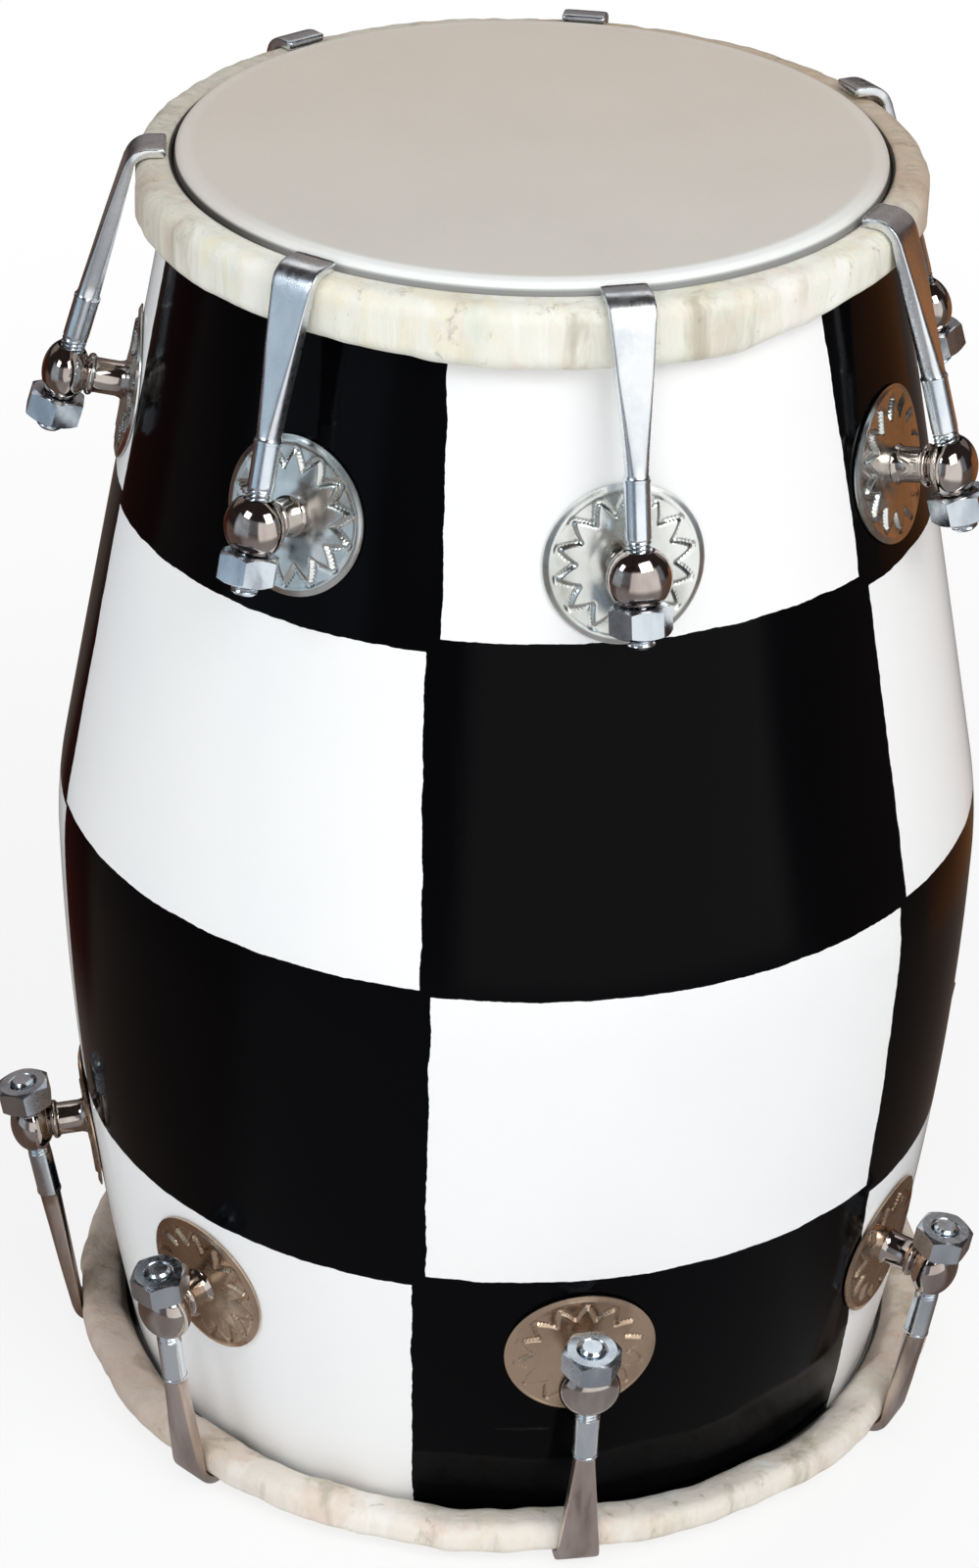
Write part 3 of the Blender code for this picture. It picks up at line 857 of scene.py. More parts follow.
BRONZE_SHEET = Metal(
    "stamped_bronze",
    light=(0.76, 0.57, 0.41),
    dark=(0.52, 0.38, 0.27),
    smooth=0.20,
    dull=0.32,
    scale=60.0,
    relief=0.00006,
    tarnish=(0.30, 0.20, 0.14),
)


class Workshop:
    """Keeps the finished materials and turns meshes into pieces that ride on the frame."""

    def __init__(self) -> None:
        """Build every finish once."""
        self.lacquer = CheckedLacquer().build()
        self.wood = TurnedWood().build()
        self.hides = {TREBLE.name: TREBLE_HIDE.build(), BASS.name: BASS_HIDE.build()}
        self.paste = Paste().build()
        self.zinc = ZINC.build()
        self.nut_zinc = NUT_ZINC.build()
        self.straps = {TREBLE.name: TREBLE_STRAP.build(), BASS.name: BASS_STRAP.build()}
        self.chrome = CHROME.build()
        self.sheets = {TREBLE.name: SILVER_SHEET.build(), BASS.name: BRONZE_SHEET.build()}

    def piece(
        self,
        mesh: bpy.types.Mesh,
        name: str,
        node: str,
        body: str,
        finish: Finish,
        materials: Iterable[bpy.types.Material],
        sharp: float = 35.0,
    ) -> bpy.types.Object:
        """Show a mesh in place of a CAD node.

        Args:
            mesh: The finished mesh, already in its place.
            name: The name of the piece.
            node: The CAD node that it stands for.
            body: The body that it rides on.
            finish: The record's slot; not used.
            materials: The materials of the mesh.
            sharp: The angle over which an edge stays sharp, in degrees.

        Returns:
            The piece.
        """
        slots = [face.material_index for face in mesh.polygons]
        mesh.materials.clear()
        for material in materials:
            mesh.materials.append(material)
        mesh.polygons.foreach_set("material_index", slots)
        mesh.shade_smooth()
        mesh.set_sharp_from_angle(angle=math.radians(sharp))
        piece = bpy.data.objects.new(name, mesh)
        bpy.context.scene.collection.objects.link(piece)
        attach(piece, body)
        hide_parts(node)
        log.info("%s: %d faces on %s", name, len(mesh.polygons), body)
        return piece


@dataclass(frozen=True)
class Station:
    """One hook bolt with its nut, eye post and rosette, laid out in an end's (r, s) plane."""

    end: End
    number: int
    azimuth: float
    rise: float
    skew: float
    standoff: float
    neck: float

    eye_flat = 0.0076
    hoop_corner = 0.0052
    side_clearance = 0.0003
    tip_clearance = 0.0014
    strap_width = 0.0140

    @property
    def surface(self) -> Vector:
        """Give the point where the post's axis meets the barrel."""
        s = self.end.eye_height + self.rise
        return Vector((self.end.barrel_radius(s), s))

    @property
    def lean(self) -> float:
        """Give the angle of the eye post, which stands square to the barrel."""
        return math.atan(-self.end.barrel_slope(self.surface.y))

    @property
    def outward(self) -> Vector:
        """Give the post's direction."""
        return Vector((math.cos(self.lean), math.sin(self.lean)))

    @property
    def eye(self) -> Vector:
        """Give the centre of the eye."""
        return self.surface + self.standoff * self.outward

    @property
    def bend_radius(self) -> float:
        """Give the radius of the strap's middle line over the hoop."""
        return self.hoop_corner + SEAT_GAP + STRAP_THICKNESS / 2

    @property
    def bend_centre(self) -> Vector:
        """Give the centre of that bend, raised where the rod is skewed."""
        angle = math.radians(abs(self.skew))
        reach = self.end.crest - self.eye.y
        lift = reach * (1 - math.cos(angle)) + self.strap_width / 2 * math.sin(angle)
        return Vector(
            (
                self.end.hoop_radius - self.hoop_corner + self.side_clearance,
                self.end.crest - self.hoop_corner + lift,
            )
        )

    @property
    def slant(self) -> float:
        """Give the rod's angle from upright."""
        way = self.bend_centre - self.eye
        return math.atan2(way.y, way.x) - math.acos(-self.bend_radius / way.length)

    def in_rod_frame(self, point: Vector) -> Vector:
        """Give an (r, s) point as (x, z) with the eye at the origin and the rod on Z."""
        way = point - self.eye
        along = Vector((-math.sin(self.slant), math.cos(self.slant)))
        across = Vector((math.cos(self.slant), math.sin(self.slant)))
        return Vector((way.dot(across), way.dot(along)))

    def place(self) -> Matrix:
        """Give the rod frame: its origin at the eye, Z along the rod and X away from the drum."""
        angle = math.radians(self.azimuth)
        radial = Vector((math.sin(angle), -math.cos(angle), 0.0))
        up = Vector((0.0, 0.0, self.end.side))
        x_axis = radial * math.cos(self.slant) + up * math.sin(self.slant)
        z_axis = up * math.cos(self.slant) - radial * math.sin(self.slant)
        turn = Matrix((x_axis, z_axis.cross(x_axis), z_axis)).transposed().to_4x4()
        post = radial * self.outward.x + up * self.outward.y
        swing = Matrix.Rotation(math.radians(self.skew), 4, post)
        origin = radial * self.eye.x + Vector((0.0, 0.0, BELLY_HEIGHT)) + up * self.eye.y
        return Matrix.Translation(origin) @ swing @ turn

    def post_place(self) -> Matrix:
        """Give the post frame: its origin at the eye and Z along the post, outwards."""
        return self.place() @ Matrix.Rotation(math.pi / 2 + self.slant - self.lean, 4, "Y")


def stations(end: End) -> list[Station]:
    """Give the stations of one end."""
    return [Station(end, number, *row) for number, row in enumerate(end.stations, start=1)]


@dataclass(frozen=True)
class Barrel:
    """The one-piece wooden barrel, bored for the eye posts."""

    steps: int = 216
    rim_round: float = 0.002
    drill_radius: float = 0.0044
    bore_heights: tuple[float, ...] = (0.05, 0.1, 0.15)
    paint_depth: float = 0.003

    def outer(self, end: End) -> Profile:
        """Give one half of the outside, from the blended belly to the rim."""
        top = end.length - self.rim_round
        side = end.barrel_radius(top)
        heights = [BELLY_BLEND + (top - BELLY_BLEND) * i / 26 for i in range(27)]
        points = [(end.barrel_radius(s), s) for s in heights[:-1]]
        return points + arc((side - self.rim_round, top), self.rim_round, 0, 90, 5)

    def belly(self) -> Profile:
        """Give the rounded belly, from the treble side to the bass side."""
        start = Vector((TREBLE.barrel_radius(BELLY_BLEND), BELLY_BLEND))
        middle = Vector((BELLY_RADIUS, 0.0))
        end = Vector((BASS.barrel_radius(BELLY_BLEND), -BELLY_BLEND))
        shares = [i / 10 for i in range(1, 10)]
        return [tuple((1 - t) ** 2 * start + 2 * t * (1 - t) * middle + t**2 * end) for t in shares]

    def build(self, shop: Workshop) -> None:
        """Make the barrel."""
        outside = self.outer(TREBLE)[::-1] + self.belly()
        outside += [(r, -s) for r, s in self.outer(BASS)]
        lower = (BASS.length, *reversed(self.bore_heights))
        upper = (*self.bore_heights, TREBLE.length)
        inside = [(BASS.barrel_radius(s) - BARREL_WALL, -s) for s in lower]
        inside += [(BELLY_RADIUS - BARREL_WALL, 0.0)]
        inside += [(TREBLE.barrel_radius(s) - BARREL_WALL, s) for s in upper]
        section = [(r, z + BELLY_HEIGHT) for r, z in outside + inside]
        drills = []
        for end in (TREBLE, BASS):
            for station in stations(end):
                middle = station.post_place() @ Matrix.Translation((0, 0, -station.standoff))
                drills.append((prism(self.drill_radius, 4 * BARREL_WALL, 20, middle), "DIFFERENCE"))
        mesh = carved(turned(section, self.steps, closed=True), drills, "barrel")
        shop.piece(mesh, "barrel", "barrel_shell", "drum", Finish.LACQUER, [shop.lacquer, shop.wood])
        for face in mesh.polygons:
            centre = face.center
            out = math.hypot(centre.x, centre.y)
            height = centre.z - BELLY_HEIGHT
            end = TREBLE if height > 0 else BASS
            if out < end.barrel_radius(abs(height)) - self.paint_depth:
                face.material_index = 1


@dataclass(frozen=True)
class Head:
    """A skin drawn over the rim and lapped round its hoop, with the lumps of hide over rope.

    The rows of foot_line are an angle from the front, in degrees, and how much further than the
    rest the lap reaches over the barrel there.
    """

    end: End
    steps: int = 420
    shoulder: float = 0.0024
    groove_depth: float = 0.0016
    outer_corner: float = 0.0052
    foot_corner: float = 0.0045
    lump: float = 0.0008
    wrinkle: float = 0.00035
    foot_wave: float = 0.0006
    inner_dip: float = 0.0
    inset: float = 0.0
    foot_line: tuple[tuple[float, float], ...] = ()
    sag: float = 0.0002
    ripple: float = 0.00012
    rim_round: float = 0.002
    strap_reach: tuple[float, float] = (0.0085, 0.0165)
    skewed_spread: float = 4.0

    def section(self) -> Profile:
        """Give the head's section as (r, s), from the centre out, round the hoop and back."""
        end = self.end
        collar, outer = end.collar_radius - self.inset, end.hoop_radius
        crest, foot, groove, corner = end.crest, end.foot, self.groove_depth, self.outer_corner
        points = line((0.0, end.face), (collar - self.shoulder, end.face), 22)
        points += arc((collar - self.shoulder, end.face - self.shoulder), self.shoulder, 90, 0, 7)
        points += [(collar + 0.0002, crest - 0.6 * groove), (collar + 0.0005, crest - groove)]
        points += [(collar + 0.0011, crest - 0.8 * groove), (collar + 0.0019, crest - 0.0004)]
        points += line((collar + 0.0028, crest), (outer - corner, crest), 5)
        points += arc((outer - corner, crest - corner), corner, 90, 0, 10)
        low_corner = self.foot_corner
        points += line((outer, crest - corner), (outer, foot + low_corner), 6)[1:]
        points += arc((outer - low_corner, foot + low_corner), low_corner, 0, -90, 8)
        inside = end.barrel_radius(foot) + end.hoop_stand_off
        top = 0.45 * inside + 0.55 * outer
        for angle in (math.radians(18 * i) for i in range(5)):
            height = foot + self.inner_dip * (1 - math.cos(angle))
            points.append((top - (top - inside) * math.sin(angle), height))
        points += [(inside, foot + self.inner_dip)]
        root = crest - 2 * groove
        points += [(end.barrel_radius(root) + end.collar_gap, root)]
        rim = end.length - self.rim_round
        side = end.barrel_radius(rim) - self.rim_round
        points += arc((side, rim), self.rim_round + end.collar_gap, 0, 80, 5)
        points += [(side, end.length + SEAT_GAP), (0.0, end.length + SEAT_GAP)]
        return points

    def freedom(self, angle: float) -> float:
        """Tell how free the hoop is of the hooks at an angle, from 0 under a strap to 1."""
        free = 1.0
        for azimuth, _, skew, _, _ in self.end.stations:
            spread = self.skewed_spread if skew else 0.0
            gap = abs((math.degrees(angle) - azimuth + 180) % 360 - 180)
            reach = math.radians(max(0.0, gap - spread)) * self.end.hoop_radius
            free = min(free, smoothstep(*self.strap_reach, reach))
        return free

    def foot_drop(self, degrees: float) -> float:
        """Tell how much further the lap reaches over the barrel at an angle from the front."""
        for (start, low), (stop, high) in zip(self.foot_line, self.foot_line[1:], strict=False):
            if start <= degrees <= stop:
                return low + (high - low) * smoothstep(start, stop, degrees)
        return 0.0

    def move(self, point: Vector) -> Vector:
        """Give a point of the finished head, with the hoop's lumps and wrinkles."""
        end = self.end
        radius = math.hypot(point.x, point.y)
        s = (point.z - BELLY_HEIGHT) * end.side
        if radius < 1e-6:
            return point
        angle = math.atan2(point.x, -point.y)
        ring = Vector((math.sin(angle), math.cos(angle), end.side * 3.7))
        inside = radius < end.collar_radius - self.inset - self.shoulder
        if inside and s > end.length + SEAT_GAP + end.skin / 2:
            dish = self.sag * (1 - (radius / end.collar_radius) ** 2)
            ripple = self.ripple * noise.noise(point * 22.0)
            return point - Vector((0, 0, end.side * (dish - ripple)))
        on_hoop = smoothstep(end.collar_radius + 0.001, end.collar_radius + 0.004, radius)
        if s < end.length:
            off_wood = radius - end.barrel_radius(max(s, 0.0)) - 0.0006
            on_hoop *= smoothstep(0.0, 0.0015, off_wood)
        free = self.freedom(angle)
        slow = noise.noise(ring * 5.5 + Vector((0, 0, s * 30)))
        quick = noise.noise(ring * 21.0 + Vector((0, 0, s * 38)))
        fold = 1 - abs(2 * noise.noise(ring * 13.0 + Vector((0, 0, s * 12))))
        bulge = self.lump * (0.35 + 0.9 * slow) + self.wrinkle * (quick + 0.8 * fold - 0.5)
        push = on_hoop * (bulge * free - 0.0002 * (1 - free))
        lower = smoothstep(end.crest - 0.25 * end.hoop_height, end.foot, s)
        wave = noise.noise(ring * 7.0 + Vector((4.0, 0, 0))) + 0.45 * noise.noise(ring * 17.0)
        drop = self.foot_wave * wave * (0.4 + 0.6 * free) + self.foot_drop(math.degrees(angle))
        rise = -on_hoop * lower * drop
        top = smoothstep(end.crest - 0.003, end.crest - 0.0003, s) * on_hoop
        rise += top * 0.0005 * (quick - 0.3) * free
        scale = (radius + push) / radius
        return Vector((point.x * scale, point.y * scale, point.z + end.side * rise))

    def build(self, shop: Workshop) -> None:
        """Make the head."""
        side = self.end.side
        section = [(r, BELLY_HEIGHT + side * s) for r, s in self.section()]
        shape = displaced(turned(section, self.steps), self.move)
        name = f"{self.end.name}_head"
        hide = shop.hides[self.end.name]
        shop.piece(as_mesh(shape, name), f"{name}_hide", name, "drum", Finish.HIDE, [hide], 60)


TREBLE_HEAD = Head(
    TREBLE,
    inset=TREBLE_INSET,
    groove_depth=0.0012,
    foot_line=(
        (-30.0, 0.0),
        (0.0, 0.0018),
        (30.0, 0.0022),
        (40.0, 0.0),
        (52.0, -0.0030),
        (68.0, -0.0026),
        (95.0, 0.0),
    ),
)
BASS_HEAD = Head(
    BASS,
    lump=0.0022,
    wrinkle=0.0005,
    foot_wave=0.0013,
    foot_corner=0.0042,
    outer_corner=0.0048,
    inner_dip=0.0036,
)


@dataclass(frozen=True)
class LoadingPaste:
    """The disc of tuning paste stuck to the inside of the bass skin."""

    radius: float = 0.0550
    thickness: float = 0.0030

    def build(self, shop: Workshop) -> None:
        """Make the disc."""
        seat = BELLY_HEIGHT - BASS.length
        points = [(0.0, seat), (self.radius - 0.001, seat)]
        points += arc((self.radius - 0.0012, seat + 0.0012), 0.0012, -60, 70, 5)
        points += [(self.radius * 0.8, seat + 0.8 * self.thickness)]
        points += [(self.radius * share, seat + self.thickness) for share in (0.5, 0.25, 0.0)]
        shape = turned(points, 96)

        def uneven(point: Vector) -> Vector:
            """Give a point of the hand-spread paste."""
            lift = 0.0003 * noise.noise(point * 160.0) if point.z > seat + 0.001 else 0.0
            return point + Vector((0, 0, lift - 0.0003 if lift else 0.0))

        mesh = as_mesh(displaced(shape, uneven), "paste")
        shop.piece(mesh, "bass_paste", "bass_loading_paste", "drum", Finish.PASTE, [shop.paste])


@dataclass(frozen=True)
class Section:
    """One cross-section of a hook bolt: its middle, its direction and its half sizes."""

    middle: tuple[float, float]
    tilt: float
    half_depth: float
    half_width: float
    roundness: float
    thread: float = 0.0


@dataclass(frozen=True)
class HookBolt:
    """A threaded rod drawn out into a flat strap that turns over the hoop.

    The rows of tip_rounding are a share of the tip's length and how much its edges have shrunk.
    """

    station: Station
    sides: int = 40
    rod: float = 0.0040
    thread_root: float = 0.00345
    pitch: float = 0.00125
    thread_top: float = 0.0125
    collar_rise: float = 0.00016
    neck_width: float = 0.0066
    neck_depth: float = 0.0070
    nut_height: float = 0.0088
    hammering: float = 0.00005
    tip_rounding: tuple[tuple[float, float], ...] = (
        (0.45, 0.0),
        (0.86, 0.0),
        (0.95, 0.0003),
        (1.0, 0.0009),
    )

    def sections(self) -> list[Section]:
        """Give the sections from the rod's end to the hook's tip."""
        station = self.station
        end_at = -(station.eye_flat + SEAT_GAP + self.nut_height + station.end.rod_spare)
        rows = [
            Section((0, end_at), 0, self.thread_root - 0.0004, self.thread_root - 0.0004, 1),
            Section((0, end_at + 0.0004), 0, self.thread_root, self.thread_root, 1),
        ]
        count = round((self.thread_top - end_at - 0.0008) / (self.pitch / 4))
        for i in range(count):
            height = end_at + 0.0008 + i * self.pitch / 4
            fade = min(1.0, (i + 1) / 5, (count - i) / 6)
            rows.append(Section((0, height), 0, self.rod, self.rod, 1, fade))
        rod = self.rod
        rows += [Section((0, self.thread_top + d), 0, rod, rod, 1) for d in (0.0003, 0.004)]
        top = self.station.neck
        rows += [Section((0, top - d), 0, rod, rod, 1) for d in (0.0080, 0.0034, 0.0014, 0.0012)]
        collar = rod + self.collar_rise
        rows += [Section((0, top - d), 0, collar, collar, 1) for d in (0.0011, 0.0003)]
        rows += [Section((0, top), 0, rod - 0.0001, rod - 0.0001, 1)]
        return rows + self.strap()

    def strap(self) -> list[Section]:
        """Give the sections of the forged part."""
        station = self.station
        neck = self.station.neck + 0.0010
        start = station.in_rod_frame(station.bend_centre).y
        rows = []
        for i in range(13):
            share = i / 12
            spread = 0.92 * share**1.12
            width = self.neck_width + (station.strap_width - self.neck_width) * spread
            depth = self.neck_depth + (STRAP_THICKNESS - self.neck_depth) * spread
            corner = 0.72 - 0.5 * min(1.0, share * 1.6)
            rows.append(Section((0, neck + (start - neck) * share), 0, depth / 2, width / 2, corner))
        centre = station.in_rod_frame(station.bend_centre)
        arm = math.pi / 2 - station.slant
        half = STRAP_THICKNESS / 2
        wide = station.strap_width / 2
        for i in range(1, 13):
            angle = arm * i / 12
            x = centre.x + station.bend_radius * math.cos(angle)
            z = centre.y + station.bend_radius * math.sin(angle)
            rows.append(Section((x, z), angle, half, wide * (0.96 + 0.04 * min(1, i / 4)), 0.2))
        tip_radius = station.end.collar_radius + station.tip_clearance
        length = station.bend_centre.x - tip_radius
        last = Vector(rows[-1].middle)
        way = Vector((-math.sin(arm), math.cos(arm)))
        for share, shrink in self.tip_rounding:
            spot = last + way * length * share
            rows.append(Section(tuple(spot), arm, half - shrink, wide - shrink, 0.24))
        return rows

    def ring(self, row: Section) -> list[Vector]:
        """Give the corners of one section in the rod frame."""
        points = []
        across = Vector((math.cos(row.tilt), math.sin(row.tilt)))
        for i in range(self.sides):
            angle = 2 * math.pi * i / self.sides
            cos, sin = math.cos(angle), math.sin(angle)
            x = math.copysign(abs(cos) ** row.roundness, cos) * row.half_depth
            y = math.copysign(abs(sin) ** row.roundness, sin) * row.half_width
            if row.thread:
                phase = (row.middle[1] / self.pitch - i / self.sides) % 1.0
                cut = (self.rod - self.thread_root) * row.thread * 2 * abs(phase - 0.5)
                x -= cut * cos
                y -= cut * sin
            spot = Vector(row.middle) + across * x
            points.append(Vector((spot.x, y, spot.y)))
        return points

    def dent(self, point: Vector) -> Vector:
        """Give a point of the forged part, with its hammered unevenness."""
        share = smoothstep(self.station.neck + 0.001, self.station.neck + 0.008, point.z)
        seed = Vector((self.station.azimuth, self.station.end.side, 0.0))
        shift = noise.noise_vector(point * 170.0 + seed) * self.hammering
        return point + shift * share

    def build(self, shop: Workshop) -> None:
        """Loft the hook by drawing its end face on from section to section."""
        shape = bmesh.new()
        made = bmesh.ops.create_circle(shape, cap_ends=True, segments=self.sides, radius=self.rod)
        face = made["verts"][0].link_faces[0]
        rows = self.sections()
        for index, row in enumerate(rows):
            if index:
                face = bmesh.ops.extrude_discrete_faces(shape, faces=[face])["faces"][0]
            for vert, spot in zip(face.verts, self.ring(row), strict=True):
                vert.co = spot
        rim = [edge for edge in shape.edges if edge.is_boundary]
        bmesh.ops.holes_fill(shape, edges=rim, sides=self.sides)
        bmesh.ops.recalc_face_normals(shape, faces=shape.faces)
        limit = self.station.neck - 0.0001
        for each in shape.faces:
            each.material_index = 1 if each.calc_center_median().z > limit else 0
        displaced(shape, self.dent)
        station = self.station
        name = f"{station.end.name}_hook_{station.number}"
        mesh = as_mesh(placed(shape, station.place()), name)
        finishes = [shop.zinc, shop.straps[station.end.name]]
        shop.piece(mesh, f"{name}_bolt", name, name, Finish.ZINC, finishes, 40)


@dataclass(frozen=True)
class Nut:
    """A hexagon nut with chamfered corners and a threaded bore."""

    station: Station
    flats: float = 0.0165
    height: float = 0.0088
    bore: float = 0.0043
    chamfer: float = 0.0007
    corner_chamfer_degrees: float = 30.0

    def build(self, shop: Workshop) -> None:
        """Make the nut."""
        corner = self.flats / math.sqrt(3)
        half = self.height / 2
        body = prism(corner, self.height, 6, Matrix.Identity(4))
        flat = 0.94 * self.flats / 2
        drop = (corner - flat) * math.tan(math.radians(self.corner_chamfer_degrees))
        lens = [(0.0, half), (flat, half), (corner + 0.0001, half - drop)]
        lens += [(r, -z) for r, z in reversed(lens)]
        bore, rim = self.bore, self.bore + self.chamfer
        core = [(0.0, half + 0.002), (rim + 0.002, half + 0.002)]
        core += [(rim, half), (bore, half - self.chamfer)]
        core += [(r, -z) for r, z in reversed(core)]
        tools = [(turned(lens, 72), "INTERSECT"), (turned(core, 36), "DIFFERENCE")]
        station = self.station
        name = f"{station.end.name}_nut_{station.number}"
        mesh = carved(body, tools, name)
        seat = Matrix.Translation((0, 0, -station.eye_flat - SEAT_GAP - half))
        mesh.transform(station.place() @ seat)
        shop.piece(mesh, f"{name}_hex", name, name, Finish.ZINC, [shop.nut_zinc], 25)


@dataclass(frozen=True)
class EyePost:
    """A ball-ended eye post, bored for its rod and clamped inside the barrel."""

    station: Station
    ball: float = 0.0098
    half_depth: float = 0.0074
    bead: float = 0.0066
    bead_round: float = 0.0013
    shank: float = 0.0055
    thread: float = 0.0040
    eye_bore: float = 0.0046
    washer_radius: float = 0.0100
    washer: float = 0.0015
    inner_nut: tuple[float, float] = (0.0130, 0.0070)
    seat_radius: float = 0.0127
    seat_depth: float = 0.0142

    def section(self) -> Profile:
        """Give the post as (radius, distance outwards from the rod's axis)."""
        station = self.station
        shoulder = -station.standoff + 0.0020
        inner = station.surface.x - BARREL_WALL
        hollow = self.washer_radius**2 / (2 * inner)
        washer = -station.standoff - BARREL_WALL * math.cos(station.lean) - hollow - 0.0008
        angles = [90 - 148 * i / 26 for i in range(27)]
        ball = [
            (self.ball * math.cos(math.radians(a)), self.half_depth * math.sin(math.radians(a)))
            for a in angles
        ]
        ball[0] = (0.0, self.half_depth)
        valley = ball[-1][1]
        bead = arc((self.bead - self.bead_round, valley - 0.0015), self.bead_round, 65, -75, 8)
        neck = [(self.shank, valley - 0.0034), (self.shank, shoulder + 0.0022)]
        flare = [(self.shank + 0.0003, shoulder + 0.0010), (self.shank + 0.0010, shoulder)]
        stud = [(self.thread, shoulder), (self.thread, washer)]
        edge, back = self.washer_radius, washer - self.washer
        disc = [(edge - 0.0002, washer), (edge, washer - 0.0002)]
        disc += [(edge, back + 0.0002), (edge - 0.0002, back), (0.0, back)]
        return ball + bead + neck + flare + stud + disc

    def build(self, shop: Workshop) -> None:
        """Make the post with its inner washer and nut."""
        station = self.station
        section = self.section()
        back = section[-1][1]
        flats, height = self.inner_nut
        behind = Matrix.Translation((0, 0, back - 0.0030))
        clamp = prism(flats / math.sqrt(3), height, 6, behind)
        turn = Matrix.Rotation(math.pi / 2 + station.slant - station.lean, 4, "Y").inverted()
        rim = self.eye_bore + 0.0005
        bore = [(0.0, 0.02), (self.eye_bore, 0.02), (self.eye_bore, -0.02), (0.0, -0.02)]
        mouth = [(0.0, 0.03), (0.02, 0.03), (0.02, 0.00865), (rim, 0.00865)]
        mouth += [(self.eye_bore, 0.0080), (0.0, 0.0080)]
        under = Matrix.Translation((0, 0, -station.eye_flat - self.seat_depth / 2))
        seat = prism(self.seat_radius, self.seat_depth, 48, turn @ under)
        tools = [
            (clamp, "UNION"),
            (placed(turned(bore, 40), turn), "DIFFERENCE"),
            (placed(turned(mouth, 48), turn), "DIFFERENCE"),
            (seat, "DIFFERENCE"),
        ]
        name = f"{station.end.name}_eye_post_{station.number}"
        mesh = carved(turned(section, 64), tools, name)
        mesh.transform(station.post_place())
        shop.piece(mesh, f"{name}_ball", name, "drum", Finish.POLISHED, [shop.chrome], 30)


@dataclass(frozen=True)
class Rosette:
    """A stamped washer with a zig-zag star, sprung to the curve of the barrel."""

    station: Station
    radius: float = 0.0242
    hole: float = 0.0044
    seat: float = 0.0005
    plate: float = 0.0008
    teeth: int = 14
    star_inner: float = 0.0142
    star_outer: float = 0.0203
    star_rise: float = 0.00075
    groove_sink: float = 0.00055
    hub_rise: float = 0.0003
    bead_rise: float = 0.00028
    bead_radius: float = 0.0222
    edge_roll: float = 0.0003
    steps: int = 168

    def relief(self, radius: float, angle: float) -> float:
        """Give the height of the stamping.

        Args:
            radius: The distance from the washer's centre.
            angle: The angle round the washer.

        Returns:
            The rise above the flat plate.
        """
        turn = (angle / (2 * math.pi) * self.teeth + 0.21 * self.station.number) % 1.0
        edge = self.star_inner + (self.star_outer - self.star_inner) * (1 - 2 * abs(turn - 0.5))
        star = self.star_rise * (1 - smoothstep(edge - 0.0006, edge + 0.0006, radius))
        groove = -self.groove_sink * math.exp(-(((radius - edge - 0.0011) / 0.0006) ** 2))
        hub = self.hub_rise * (1 - smoothstep(0.0070, 0.0110, radius))
        bead = self.bead_rise * math.exp(-(((radius - self.bead_radius) / 0.0007) ** 2))
        roll = -self.edge_roll * smoothstep(self.radius - 0.0012, self.radius, radius)
        return star + groove * smoothstep(0.010, 0.012, radius) + hub + bead + roll

    def build(self, shop: Workshop) -> None:
        """Make the washer."""
        top = self.seat + self.plate
        count = 44
        radii = [self.hole + (self.radius - self.hole) * i / count for i in range(count + 1)]
        section = [(r, top) for r in radii] + [(r, self.seat) for r in reversed(radii[::4])]
        station = self.station
        curve = station.surface.x / math.cos(station.lean)

        def stamped(point: Vector) -> Vector:
            """Give a point of the stamped and sprung washer."""
            lift = math.sqrt(curve**2 - point.y**2) - curve
            if point.z > self.seat + 1e-5:
                angle = math.atan2(point.y, point.x)
                lift += self.relief(math.hypot(point.x, point.y), angle)
            return point + Vector((0, 0, lift))

        shape = displaced(turned(section, self.steps, closed=True), stamped)
        place = station.post_place() @ Matrix.Translation((0, 0, -station.standoff))
        name = f"{station.end.name}_rosette_{station.number}"
        mesh = as_mesh(placed(shape, place), name)
        sheet = shop.sheets[station.end.name]
        shop.piece(mesh, f"{name}_washer", name, "drum", Finish.STAMPED, [sheet], 50)


@dataclass(frozen=True)
class Patch:
    """A part of the reflected room, by its angle from the front and its elevation, in degrees."""

    colour: Colour
    centre: float
    half: float
    low: float
    high: float
    soft: float = 4.0

    def share(self, made: Material, angle: Socket, elevation: Socket) -> Socket:
        """Give how much of the patch shows in a direction."""
        turn = made.math("WRAP", made.math("SUBTRACT", angle, self.centre), 180.0, -180.0)
        away = made.math("ABSOLUTE", turn)
        wide = made.ease(away, self.half + self.soft, self.half - self.soft)
        above = made.ease(elevation, self.low - self.soft, self.low + self.soft)
        below = made.ease(elevation, self.high + self.soft, self.high - self.soft)
        return made.math("MULTIPLY", wide, made.math("MULTIPLY", above, below))


